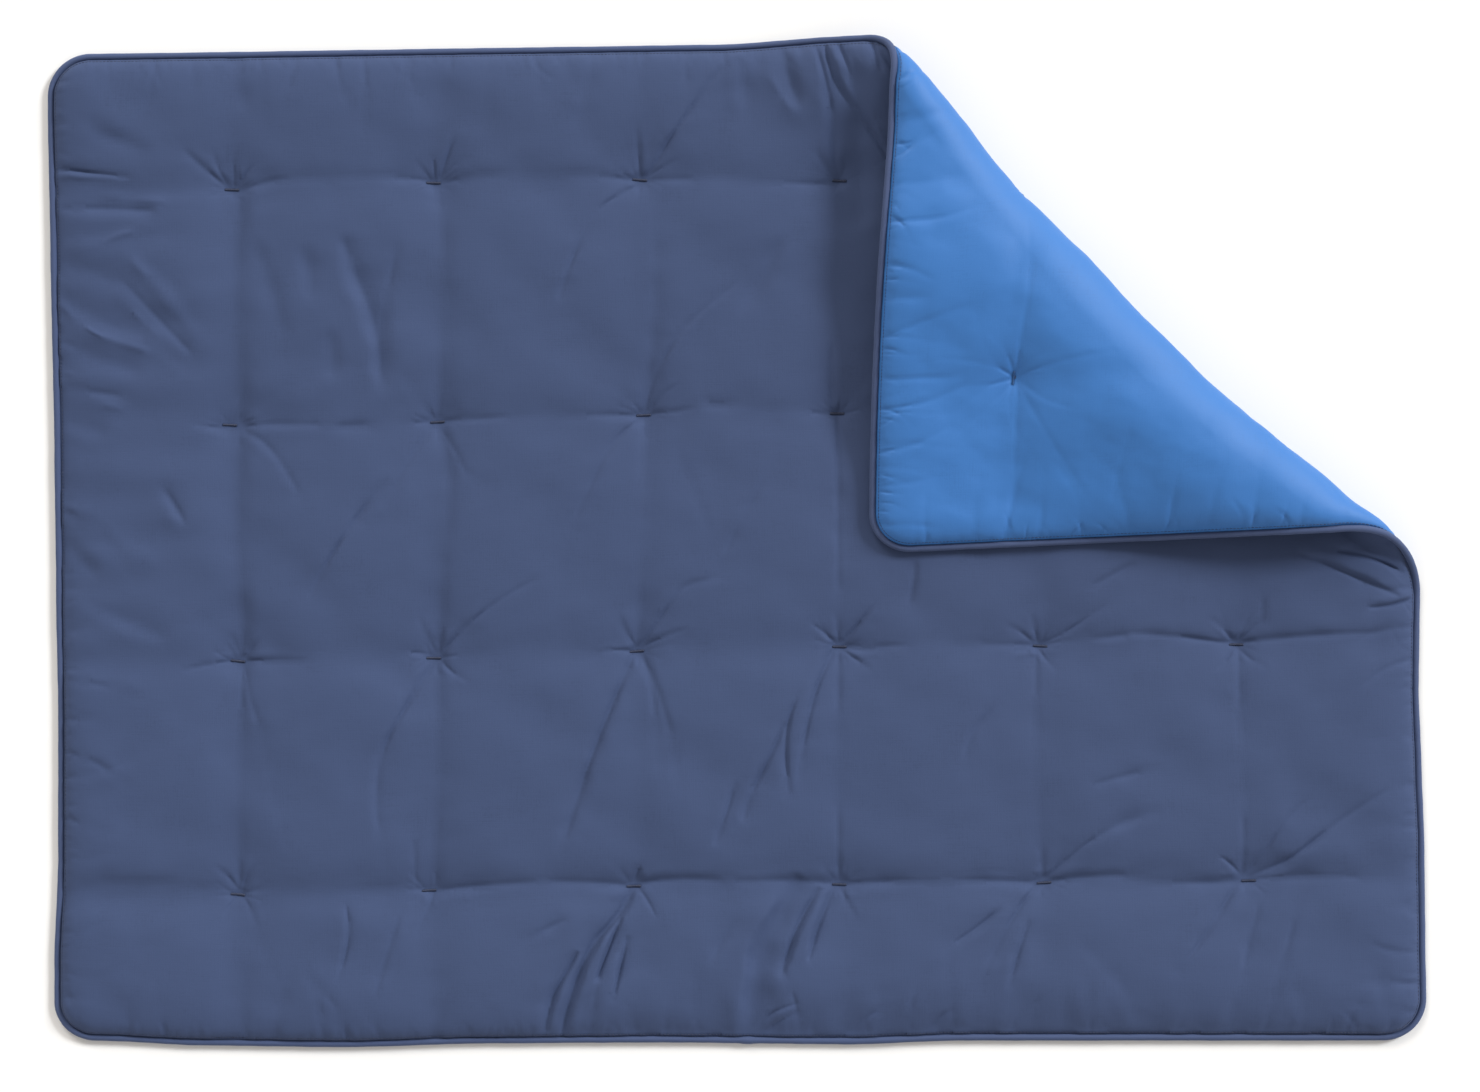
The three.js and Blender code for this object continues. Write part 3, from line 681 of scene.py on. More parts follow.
def star_relief(x, y, stars):
    """How far the fine creases round the tufts draw the cloth in. Where two meet, the deeper counts."""
    relief = np.zeros_like(x)
    for (tx, ty), rays in zip(TUFTS, stars):
        near = np.nonzero((np.abs(x - tx) < RAY_FIELD) & (np.abs(y - ty) < RAY_FIELD))
        if not len(near[0]):
            continue
        dx, dy = x[near] - tx, y[near] - ty
        deepest = np.zeros(len(dx))
        for angle, reach, depth, width, bend in rays:
            ox = dx - RAY_START * math.cos(angle)
            along = ox * math.cos(angle) + dy * math.sin(angle)
            across = dy * math.cos(angle) - ox * math.sin(angle) + bend * along * along
            strength = smooth(along / RAY_ONSET[0] + RAY_ONSET[1]) * np.exp(-np.maximum(along, 0) / reach)
            spread = width * (RAY_NARROWEST + RAY_WIDENING * np.clip(along, 0, RAY_WIDEST))
            ray = depth * strength * np.exp(-((np.abs(across) / spread) ** SIDE_POWER))
            deepest = np.maximum(deepest, ray)
        relief[near] -= deepest
    return relief


# Limits of the relief, the seam's pinch, the full shoulder beside it and the dimple at each bar tack
DEEPEST_CREASE = 11
DEEPEST_SHARE = 0.5
HIGHEST_RIDGE = 2
SEAM_PINCH = 1.6
SEAM_PINCH_REACH = 7
SHOULDER_FILL = 2
SHOULDER_FILL_REACH = 60
TACK_DIMPLE = 2.4
TACK_DIMPLE_REACH = (12, 5)

# The face's creases are this many times as deep as their table says, within those limits
FACE_CREASE_GAIN = 3

# What is left of creases and unevenness at the sewn edge and the tufts, and how wide that calm is
EDGE_CREASES = 0.35
EDGE_CREASES_WIDTH = 10
EDGE_CALM_WIDTH = 60
TUFT_CALM = 0.8

# Unevenness of the filling: shortest and longest wave, and how high it stands
UNEVEN_WAVES = [(90, 220, 1.1), (34, 80, 0.3), (16, 30, 0.07)]
WAVES_EACH = 14


def uneven_waves(rng):
    waves = []
    for shortest, longest, height in UNEVEN_WAVES:
        for _ in range(WAVES_EACH):
            length = shortest * (longest / shortest) ** rng.random()
            angle = math.pi * rng.random()
            rate = 2 * math.pi / length
            phase = 2 * math.pi * rng.random()
            waves.append((rate * math.cos(angle), rate * math.sin(angle), phase, height))
    return waves


RANDOM = np.random.default_rng(71)
FACE_PUCKERS = edge_puckers(RANDOM)
BACK_PUCKERS = edge_puckers(RANDOM)
FACE_STARS = tuft_rays(RANDOM)
BACK_STARS = tuft_rays(RANDOM)
FACE_WAVES = uneven_waves(RANDOM)
BACK_WAVES = uneven_waves(RANDOM)


def unevenness(x, y, waves):
    """Soft swells of the filling, calmer at the sewn edge and the tufts."""
    total = np.zeros_like(x)
    for across, up, phase, height in waves:
        total = total + height * np.sin(across * x + up * y + phase)
    calm = smooth(edge_distance(x, y) / EDGE_CALM_WIDTH)
    for tx, ty in TUFTS:
        calm = calm * (1 - TUFT_CALM * np.exp(-((x - tx) ** 2 + (y - ty) ** 2) / TUFT_REACH**2))
    return calm * total * math.sqrt(2 / WAVES_EACH)


def limited(relief, x, y):
    """Keeps creases that cross from adding up, and from going through where the cloth is thin."""
    deepest = np.minimum(DEEPEST_CREASE, DEEPEST_SHARE * cloth_height(x, y))
    deep = -deepest * (1 - np.exp(np.minimum(relief, 0) / deepest))
    high = HIGHEST_RIDGE * (1 - np.exp(-np.maximum(relief, 0) / HIGHEST_RIDGE))
    return deep + high


# Makes the greatest value of share * (1 - share) ** 2 one
SHOULDER_PEAK = 27 / 4


def drawn_in(x, y):
    """How far the sewn edge and the tufts draw either side of the cloth in. The filling's full
    shoulder beside the seam is the opposite, so it counts below zero."""
    inward = np.maximum(edge_distance(x, y), 0)
    amount = SEAM_PINCH * np.exp(-((inward / SEAM_PINCH_REACH) ** 2))
    share = np.clip(inward / SHOULDER_FILL_REACH, 0, 1)
    amount = amount - SHOULDER_PEAK * SHOULDER_FILL * share * (1 - share) ** 2
    for tx, ty in TUFTS:
        away = ((x - tx) / TACK_DIMPLE_REACH[0]) ** 2 + ((y - ty) / TACK_DIMPLE_REACH[1]) ** 2
        amount = amount + TACK_DIMPLE * np.exp(-away)
    return amount


def cloth_relief(x, y, relief, puckers, stars, waves):
    """Adds the random puckers, rays and unevenness of one side to the relief of its creases."""
    relief = relief + crease_relief(*lay_out(x, y), puckers, lay_out) + star_relief(x, y, stars)
    calm = smooth(edge_distance(x, y) / EDGE_CREASES_WIDTH)
    return relief * mix(EDGE_CREASES, 1, calm) + unevenness(x, y, waves)


def face_relief(x, y):
    """Relief of the navy face over its smooth shape, outward."""
    creases = FACE_CREASE_GAIN * crease_relief(*lay_out(x, y), FACE_CREASES, on_face)
    relief = cloth_relief(x, y, creases, FACE_PUCKERS, FACE_STARS, FACE_WAVES)
    return limited(relief - drawn_in(x, y), x, y)


# The folded corner dips beside the fold: how deep, how wide, how far past the bend, and where along
# the fold it starts and ends
FOLD_DIP = 9
FOLD_DIP_WIDTH = 36
FOLD_DIP_PLACE = -20
FOLD_DIP_RUN = (60, 990)
FOLD_DIP_FADE = 160

# The back's relief starts within the bend, over this share of its length. Before it, only this share
# of what draws the cloth in is left.
RELIEF_START = 0.3
HIDDEN_DRAWN = 0.4


def back_relief(x, y):
    """Relief of the blue back over its smooth shape, outward."""
    lx, ly = lay_out(x, y)
    past, length = past_bend(lx, ly)
    free = smooth(past / (RELIEF_START * length))
    creases = crease_relief(lx, ly, FLAP_CREASES, on_blue)
    relief = cloth_relief(x, y, creases, BACK_PUCKERS, BACK_STARS, BACK_WAVES)
    along = along_fold(lx, ly)
    begun = smooth((along - FOLD_DIP_RUN[0]) / FOLD_DIP_FADE)
    held = begun * smooth((FOLD_DIP_RUN[1] - along) / FOLD_DIP_FADE)
    relief = relief - FOLD_DIP * held * np.exp(-(((past - length - FOLD_DIP_PLACE) / FOLD_DIP_WIDTH) ** 2))
    drawn = drawn_in(x, y)
    drawn = np.where(drawn > 0, mix(HIDDEN_DRAWN, 1, free), free) * drawn
    return limited(free * relief - drawn, x, y)


# The cloth's mesh: blocks of cells. A block's level says in how many cells each of its sides is split.
# Every SURVEY-th point is looked at to choose it.
BLOCKS = (88, 64)
PLAIN, LOW, MIDDLE, FINE, FINEST = 1, 2, 3, 6, 12
SURVEY = 2
BORDERS = (np.s_[0, :], np.s_[-1, :], np.s_[:, 0], np.s_[:, -1])


def lattice(step=1):
    """Regular cloth places of every point that a mesh may use, drawn in to the rounded corners."""
    x = np.linspace(-HALF_WIDTH, HALF_WIDTH, BLOCKS[0] * FINEST + 1)
    y = np.linspace(-HALF_HEIGHT, HALF_HEIGHT, BLOCKS[1] * FINEST + 1)
    x, y = np.meshgrid(x, y)
    a = (np.abs(x) - HALF_WIDTH + CLOTH_CORNER) / CLOTH_CORNER
    b = (np.abs(y) - HALF_HEIGHT + CLOTH_CORNER) / CLOTH_CORNER
    corner = (a > 0) & (b > 0)
    in_x = np.where(corner, CLOTH_CORNER * a * (1 - np.sqrt(np.maximum(1 - b * b / 2, 0))), 0)
    in_y = np.where(corner, CLOTH_CORNER * b * (1 - np.sqrt(np.maximum(1 - a * a / 2, 0))), 0)
    return (x - np.sign(x) * in_x)[::step, ::step], (y - np.sign(y) * in_y)[::step, ::step]


def used_points(levels, border=None):
    """Which lattice points a set of block levels uses."""
    used = np.zeros((BLOCKS[1] * FINEST + 1, BLOCKS[0] * FINEST + 1), bool)
    for level in np.unique(levels):
        rows, columns = np.nonzero(levels == level)
        step = FINEST // level
        for i in range(0, FINEST + 1, step):
            for j in range(0, FINEST + 1, step):
                used[rows * FINEST + i, columns * FINEST + j] = True
    if border is not None:
        for edge in BORDERS:
            used[edge] |= border[edge]
    return used


def block_faces(levels, used, index):
    """Faces of one layer. A cell takes in the points that a finer neighbour puts on its sides."""
    faces = []
    rows, columns = np.nonzero(levels == FINEST)
    for i in range(FINEST):
        for j in range(FINEST):
            r, c = rows * FINEST + i, columns * FINEST + j
            quads = np.stack([index[r, c], index[r, c + 1], index[r + 1, c + 1], index[r + 1, c]], -1)
            faces.extend(quads.tolist())
    for row, column in zip(*np.nonzero(levels != FINEST)):
        step = FINEST // int(levels[row, column])
        for r in range(row * FINEST, (row + 1) * FINEST, step):
            for c in range(column * FINEST, (column + 1) * FINEST, step):
                ring = [(r, c + k) for k in range(step)]
                ring += [(r + k, c + step) for k in range(step)]
                ring += [(r + step, c + step - k) for k in range(step)]
                ring += [(r + step - k, c) for k in range(step)]
                faces.append([int(index[p]) for p in ring if used[p]])
    return faces


def ring_points(used):
    """The used lattice points along the border, once round, anticlockwise."""
    high, wide = used.shape
    ring = [(0, c) for c in range(wide - 1)]
    ring += [(r, wide - 1) for r in range(high - 1)]
    ring += [(high - 1, c) for c in range(wide - 1, 0, -1)]
    ring += [(r, 0) for r in range(high - 1, 0, -1)]
    return [p for p in ring if used[p]]


def closed_cloth(name, outer_levels, inner_levels, outer, inner, outward):
    """A closed body of cloth. outer and inner put lattice points in space, and outward is 1 if the
    outer layer is the face's side and -1 if it is the back's."""
    x, y = lattice()
    outer_used = used_points(outer_levels)
    inner_used = used_points(inner_levels, outer_used)
    for edge in BORDERS:
        outer_used[edge] |= inner_used[edge]
    outer_index = np.full(outer_used.shape, -1)
    outer_index[outer_used] = np.arange(outer_used.sum())
    inner_index = np.full(inner_used.shape, -1)
    inner_index[inner_used] = np.arange(inner_used.sum()) + outer_used.sum()
    outer_flat, inner_flat = (np.stack([x[used], y[used]], -1) for used in (outer_used, inner_used))
    points = np.concatenate([outer(*outer_flat.T), inner(*inner_flat.T)])
    faces = block_faces(outer_levels, outer_used, outer_index)
    faces += [face[::-1] for face in block_faces(inner_levels, inner_used, inner_index)]
    ring = ring_points(outer_used)
    for here, there in zip(ring, ring[1:] + ring[:1]):
        wall = inner_index[here], inner_index[there], outer_index[there], outer_index[here]
        faces.append([int(v) for v in wall])
    if outward < 0:
        faces = [face[::-1] for face in faces]
    return make_piece(name, points, faces, np.concatenate([outer_flat, inner_flat]))


def add_object(name, data):
    made = bpy.data.objects.new(name, data)
    bpy.context.scene.collection.objects.link(made)
    return made


def make_piece(name, points, faces, flat=None):
    """A smooth-shaded object from points in millimetres, with its flat cloth places as UVs in metres."""
    points = np.asarray(points, float) + (*CENTRING, 0)
    mesh = bpy.data.meshes.new(name)
    mesh.from_pydata((points * MM).tolist(), [], faces)
    mesh.polygons.foreach_set("use_smooth", [True] * len(mesh.polygons))
    if flat is not None:
        layer = mesh.uv_layers.new(name="cloth")
        corner = np.zeros(len(mesh.loops), np.int32)
        mesh.loops.foreach_get("vertex_index", corner)
        layer.data.foreach_set("uv", (np.asarray(flat)[corner] * MM).ravel())
    mesh.update()
    return add_object(name, mesh)


TUFT_BLOCKS_REACH = 25


def at_tuft():
    """Blocks right round a tuft."""
    x, y = (0.25 * (v[1:, 1:] + v[:-1, 1:] + v[1:, :-1] + v[:-1, :-1]) for v in lattice(FINEST))
    near = np.zeros(x.shape, bool)
    for tx, ty in TUFTS:
        near |= np.hypot(x - tx, y - ty) < TUFT_BLOCKS_REACH
    return near


# Blocks this near the sewn edge count for less, and a block's sharpest bend counts beside its mean
EDGE_BLOCKS = 30
EDGE_DETAIL = 0.6
PEAK_SHARE = 0.3


def by_block(values):
    """Surveyed values as an array of rows of blocks, their points, columns of blocks, their points."""
    return values[:-1, :-1].reshape(BLOCKS[1], FINEST // SURVEY, BLOCKS[0], FINEST // SURVEY)


def block_mask(values, share):
    """Blocks of which at least a share of the points is marked."""
    return by_block(values).mean((1, 3)) >= share


def block_levels(relief, wanted, finest_blocks, fine_blocks, middle_blocks):
    """Splits the wanted blocks by how strongly their relief bends. The others stay plain."""
    bend = np.zeros_like(relief)
    bend[:, 1:-1] += np.abs(relief[:, 2:] - 2 * relief[:, 1:-1] + relief[:, :-2])
    bend[1:-1, :] += np.abs(relief[2:, :] - 2 * relief[1:-1, :] + relief[:-2, :])
    blocks = by_block(bend)
    amount = blocks.mean((1, 3)) + PEAK_SHARE * blocks.max((1, 3))
    x, y = lattice(FINEST)
    near_edge = np.abs(edge_distance(x, y))[:-1, :-1] < EDGE_BLOCKS
    amount = np.where(wanted, amount * np.where(near_edge, EDGE_DETAIL, 1), -1)
    order = np.argsort(-amount.ravel())
    levels = np.full(amount.size, LOW)
    levels[order[: finest_blocks + fine_blocks + middle_blocks]] = MIDDLE
    levels[order[: finest_blocks + fine_blocks]] = FINE
    levels[order[:finest_blocks]] = FINEST
    levels = levels.reshape(amount.shape)
    levels = np.where(wanted & at_tuft(), FINEST, levels)
    return np.where(wanted, levels, PLAIN)


# The face goes out of sight past this share of its bend, apart from a strip along its sewn edge, and
# under the flap, past this share of the flap's bend and this far in from the flap's edge
FACE_TURN = 0.2
FOLDED_EDGE = 60
COVER_TURN = 0.5
COVER_DEPTH = 30


def hidden_places(x, y):
    """True where the face can't be seen: under the flap and on the flap's own underside."""
    fx, fy = lay_out(x, y)
    past, length = past_bend(fx, fy)
    qx, qy = off_flap(fx, fy)
    cover_past, cover_length = past_bend(qx, qy)
    covered = (cover_past > COVER_TURN * cover_length) & (edge_distance(qx, qy) > COVER_DEPTH)
    folded = (past > FACE_TURN * length) & (edge_distance(x, y) > FOLDED_EDGE)
    return (past < FACE_TURN * length) & covered | folded


# How many blocks of each layer are split finest, fine and middling
FACE_BLOCKS = (170, 760, 1250)
BACK_BLOCKS = (30, 560, 420)

# The face's hidden underside lies this share of the cloth's height over the back cloth, more on the
# flap, from this share of the bend's length before its start
LINING_SHARE = 0.04
FLAP_LINING_SHARE = 0.38
LINING_FADE = 0.3
LINING_START = 0.6

# The back is split where it shows, past this share of the bend, and a little round tufts and along the
# sewn edge. This share of a block's points is enough to count it in.
BACK_TURN = 0.1
BACK_TUFT_REACH = 55
BACK_EDGE_WIDTH = 20
ANY_POINT = 0.01


def make_quilt():
    x, y = lattice(SURVEY)
    seen = ~block_mask(hidden_places(x, y), 1)
    levels = block_levels(cloth_height(x, y) + face_relief(x, y), seen, *FACE_BLOCKS)

    def face(px, py):
        return place_cloth(px, py, 1, face_relief(px, py))

    def lining(px, py):
        past, length = past_bend(*lay_out(px, py))
        free = smooth(past / (LINING_FADE * length) + LINING_START)
        depth = mix(LINING_SHARE, FLAP_LINING_SHARE, free) * cloth_height(px, py)
        return place_cloth(px, py, -1, depth + BACK_CLOTH + PIECE_GAP)

    return closed_cloth("navy_quilted_face", levels, np.full_like(levels, PLAIN), face, lining, 1)


def make_back():
    x, y = lattice(SURVEY)
    past, length = past_bend(*lay_out(x, y))
    shown = block_mask(past > BACK_TURN * length, ANY_POINT)
    levels = block_levels(cloth_height(x, y) + back_relief(x, y), shown, *BACK_BLOCKS)
    shaped = edge_distance(x, y) < BACK_EDGE_WIDTH
    for tx, ty in TUFTS:
        shaped |= np.hypot(x - tx, y - ty) < BACK_TUFT_REACH
    levels = np.maximum(levels, np.where(block_mask(shaped, ANY_POINT), LOW, PLAIN))

    def outer(px, py):
        return place_cloth(px, py, -1, -back_relief(px, py))

    def inner(px, py):
        return place_cloth(px, py, -1, BACK_CLOTH - back_relief(px, py))

    return closed_cloth("blue_back", levels, levels, outer, inner, -1)


FEWEST_CORNER_STEPS = 6


def edge_path(step):
    """Regular cloth places and outward directions along the sewn edge, once round, anticlockwise."""
    points = []
    straight = (HALF_WIDTH - CLOTH_CORNER, HALF_HEIGHT - CLOTH_CORNER)
    quarter = max(int(round(CLOTH_CORNER * math.pi / 2 / step)), FEWEST_CORNER_STEPS)
    for sx, sy, first in ((1, -1, -90), (1, 1, 0), (-1, 1, 90), (-1, -1, 180)):
        for k in range(quarter + 1):
            angle = math.radians(first + 90 * k / quarter)
            ox, oy = math.cos(angle), math.sin(angle)
            x, y = sx * straight[0] + CLOTH_CORNER * ox, sy * straight[1] + CLOTH_CORNER * oy
            points.append((x, y, ox, oy))
        long = 2 * (straight[1] if abs(ox) > abs(oy) else straight[0])
        run = int(round(long / step))
        for k in range(1, run):
            away = long * k / run
            points.append((x - oy * away, y + ox * away, ox, oy))
    return np.array(points)


def edge_frames(path):
    """In space, for each place on the edge: the cloth's middle, and the unit directions outward and
    towards the face."""
    x, y, ox, oy = path.T
    middle = place_cloth(x, y, 0, 0)
    beyond = place_cloth(x + ox * PIPING_RADIUS, y + oy * PIPING_RADIUS, 0, 0)
    along = np.roll(middle, -1, 0) - np.roll(middle, 1, 0)
    along /= np.linalg.norm(along, axis=1)[:, None]
    outward = beyond - middle
    outward -= (outward * along).sum(1)[:, None] * along
    outward /= np.linalg.norm(outward, axis=1)[:, None]
    return middle, outward, np.cross(outward, along)


def tube(rings, closed):
    """Faces of a tube through rings of points, given as (rings, sides, 3)."""
    count, sides = rings.shape[:2]
    faces = []
    for i in range(count if closed else count - 1):
        here, there = i * sides, (i + 1) % count * sides
        for k in range(sides):
            after = (k + 1) % sides
            faces.append([here + k, there + k, there + after, here + after])
    if not closed:
        faces.append(list(range(sides)))
        faces.append(list(range((count - 1) * sides, count * sides))[::-1])
    return faces


# The piping's mesh and unevenness, how much its stitches press it, its lapped join, and how far it is
# tucked in over the cloth's edge
PIPING_STEP = 5
PIPING_SIDES = 16
PIPING_UNEVEN = 0.175
PIPING_WAVES = (23, 41, 67, 113, 190)
PIPING_WAVE_SHARE = 0.4
PIPING_PRESSED = 0.15
JOIN_PLACE = 13
JOIN_HALF = 9
JOIN_SWELL = 0.9
PIPING_TUCK = 1.3
# How much of its outward direction has to point down for a place to be on the lower side
FACING = 0.9


def make_piping():
    """The round piping, a little uneven, pinched by its stitches, with its ends lapped at one place."""
    path = edge_path(PIPING_STEP)
    middle, outward, faceward = edge_frames(path)
    count = len(path)
    turn = np.arange(count) / count
    rng = np.random.default_rng(5)
    uneven = np.zeros(count)
    for waves in PIPING_WAVES:
        uneven += np.sin(2 * math.pi * (waves * turn + rng.random())) * PIPING_WAVE_SHARE
    lower_side = path[:, 3] < -FACING
    lap = np.where(lower_side, np.exp(-(((path[:, 0] - JOIN_PLACE) / JOIN_HALF) ** 4)), 0)
    radius = PIPING_RADIUS + PIPING_UNEVEN * np.clip(uneven, -1, 1) - PIPING_PRESSED + JOIN_SWELL * lap
    angle = 2 * math.pi * np.arange(PIPING_SIDES) / PIPING_SIDES
    out = PIPING_GAP + PIPING_RADIUS - PIPING_TUCK + radius[:, None] * np.cos(angle)
    up = radius[:, None] * np.sin(angle)
    rings = middle[:, None] + outward[:, None] * out[..., None] + faceward[:, None] * up[..., None]
    rings[..., 2] = np.maximum(rings[..., 2], 0)
    run = np.repeat(np.arange(count) * PIPING_STEP, PIPING_SIDES)
    flat = np.stack([run, np.tile(angle * PIPING_RADIUS, count)], -1)
    return make_piece("navy_piping", rings.reshape(-1, 3), tube(rings, True), flat)


def thread(points, up, radius, sides):
    """Rings of a short thin tube through points, with the directions out of the cloth there."""
    along = np.gradient(points, axis=0)
    along /= np.linalg.norm(along, axis=1)[:, None]
    across = np.cross(along, up)
    across /= np.linalg.norm(across, axis=1)[:, None]
    up = np.cross(across, along)
    angle = 2 * math.pi * np.arange(sides) / sides
    ring = across[:, None] * np.cos(angle)[None, :, None] + up[:, None] * np.sin(angle)[None, :, None]
    return points[:, None] + radius * ring


# How far over the cloth the search for its finished surface starts
LOOK_FROM = 9


def surface_of(piece):
    """Search tree of a finished piece's surface."""
    points = [v.co for v in piece.data.vertices]
    return BVHTree.FromPolygons(points, [tuple(face.vertices) for face in piece.data.polygons])


def on_cloth(x, y, side, relief, surface):
    """Points on the finished surface of one side of the cloth, and the directions out of it."""
    amount = relief(x, y)
    on = place_cloth(x, y, side, side * amount)
    out = place_cloth(x, y, side, side * (amount + 1)) - on
    out /= np.linalg.norm(out, axis=1)[:, None]
    shift = np.array([*CENTRING, 0])
    for i in range(len(on)):
        start = (on[i] + LOOK_FROM * out[i] + shift) * MM
        found = surface.ray_cast(Vector(start), Vector(-out[i]), 2 * LOOK_FROM * MM)[0]
        if found is not None:
            on[i] = np.array(found) / MM - shift
    return on, out


def short_threads(px, py, lifts, size, side, relief, surface):
    """Rings of many threads. Each row of px and py is one thread's line on one side of the cloth, and
    lifts says how far over the cloth its points lie. size is the thread's radius and its sides."""
    on, out = on_cloth(px.ravel(), py.ravel(), side, relief, surface)
    lines, ups = on.reshape(*px.shape, 3), out.reshape(*px.shape, 3)
    return [thread(line + up * lifts[:, None], up, *size) for line, up in zip(lines, ups)]


def joined_threads(name, bundles):
    """One piece from many thread rings of equal size."""
    points = []
    faces = []
    for rings in bundles:
        start = len(points)
        points.extend(rings.reshape(-1, 3).tolist())
        faces.extend([start + v for v in face] for face in tube(rings, False))
    return make_piece(name, points, faces)


STITCH_LENGTH = 3.2
STITCH_GAP = 1.3
STITCH_RADIUS = 0.42
STITCH_SIDES = 5
STITCH_IN = 3.2
# Points along a stitch, as shares of its length, and how far over the cloth each one lies
STITCH_POINTS = np.array([-0.5, -0.2, 0.2, 0.5])
STITCH_LIFTS = np.array([-0.15, 0.35, 0.35, -0.15])


def seam_stitches(face, back):
    """The stitch line beside the piping, on both sides of the cloth."""
    x, y, ox, oy = edge_path(STITCH_LENGTH + STITCH_GAP).T
    along = STITCH_POINTS * STITCH_LENGTH
    px = (x - ox * STITCH_IN)[:, None] - oy[:, None] * along
    py = (y - oy * STITCH_IN)[:, None] + ox[:, None] * along
    bundles = []
    for side, relief, surface in ((1, face_relief, face), (-1, back_relief, back)):
        thread_size = STITCH_RADIUS, STITCH_SIDES
        bundles += short_threads(px, py, STITCH_LIFTS, thread_size, side, relief, surface)
    return joined_threads("seam_stitches", bundles)


TACK_LENGTH = 17
TACK_WIDTH = 2.6
TACK_WIDTH_RANGE = (0.85, 1.15)
TACK_TURNS = 15
TACK_TILT = 0.05
TACK_SLANT = 0.5
TACK_THREAD = 0.62
TACK_SIDES = 6
TACK_BASE = 0.2
TACK_CROWN = 1.1
# Points across a bar, as shares of its width
TACK_POINTS = np.array([-0.5, -0.25, 0, 0.25, 0.5])


def bar_tacks(name, side, relief, surface):
    """A satin-stitched bar at every tuft, on one side of the cloth."""
    rng = np.random.default_rng(9)
    crown = TACK_BASE + TACK_CROWN * (1 - (2 * TACK_POINTS) ** 2)
    at = ((np.arange(TACK_TURNS) / (TACK_TURNS - 1) - 0.5) * TACK_LENGTH)[:, None]
    px, py = [], []
    for tx, ty in TUFTS:
        tilt = TACK_TILT * rng.normal()
        wide = TACK_WIDTH * rng.uniform(*TACK_WIDTH_RANGE, TACK_TURNS)
        px.append(tx + at + TACK_SLANT * TACK_POINTS)
        py.append(ty + tilt * at + wide[:, None] * TACK_POINTS)
    px, py = np.concatenate(px), np.concatenate(py)
    thread_size = TACK_THREAD, TACK_SIDES
    return joined_threads(name, short_threads(px, py, crown, thread_size, side, relief, surface))


class Nodes:
    """Small helper that adds and links shader nodes of one material."""

    def __init__(self, name):
        self.material = bpy.data.materials.new(name)
        self.material.use_nodes = True
        self.tree = self.material.node_tree
        self.shader = self.tree.nodes["Principled BSDF"]

    def add(self, kind, inputs=(), **settings):
        node = self.tree.nodes.new(kind)
        for key, value in settings.items():
            setattr(node, key, value)
        for socket, value in dict(inputs).items():
            if isinstance(value, bpy.types.NodeSocket):
                self.tree.links.new(value, node.inputs[socket])
            else:
                node.inputs[socket].default_value = value
        return node

    def link(self, source, socket):
        self.tree.links.new(source, self.shader.inputs[socket])

    def scaled(self, source, scale):
        return self.add("ShaderNodeMapping", {0: source, 3: scale}).outputs[0]

    def noise(self, place, scale, detail=2):
        inputs = {"Vector": place, "Scale": scale, "Detail": detail}
        return self.add("ShaderNodeTexNoise", inputs).outputs[0]

    def maths(self, operation, a, b):
        return self.add("ShaderNodeMath", {0: a, 1: b}, operation=operation).outputs[0]

    def weighted(self, *parts):
        """Sum of values, each given with its weight."""
        first, *others = [self.maths("MULTIPLY", *part) for part in parts]
        for other in others:
            first = self.maths("ADD", first, other)
        return first

    def ramp(self, value, low, high):
        """Maps 0..1 onto low..high."""
        return self.add("ShaderNodeMapRange", {0: value, 3: low, 4: high}).outputs[0]

    def set(self, socket, value):
        self.shader.inputs[socket].default_value = value

    def tint(self, colour, factor):
        """The surface's colour, made lighter or darker by a factor that varies over it."""
        scaled = self.add("ShaderNodeVectorMath", {0: colour, 3: factor}, operation="SCALE")
        self.link(scaled.outputs[0], "Base Color")

    def bump(self, height, strength, depth):
        bump = self.add("ShaderNodeBump", {"Height": height, "Strength": strength, "Distance": depth})
        self.link(bump.outputs[0], "Normal")


# Scales of the cloth's noises, in waves for each metre: threads that are thicker in places, patches,
# grain and pile
SLUB_ALONG = 30
SLUB_ACROSS = 620
PATCH_SCALE = 16
GRAIN_SCALE = 260
PILE_SCALE = 90
# The mottle's spread of values, and the shares of the parts of mottle and bump
MOTTLE_RANGE = (0.6, 1.0)
SLUB_MOTTLE = 0.5
PATCH_MOTTLE = 0.6
GRAIN_MOTTLE = 0.5
WEAVE_HEIGHT = 0.5
SLUB_HEIGHT = 0.8
BUMP_DEPTH = 0.0006
ROUGH_SPREAD = 0.05


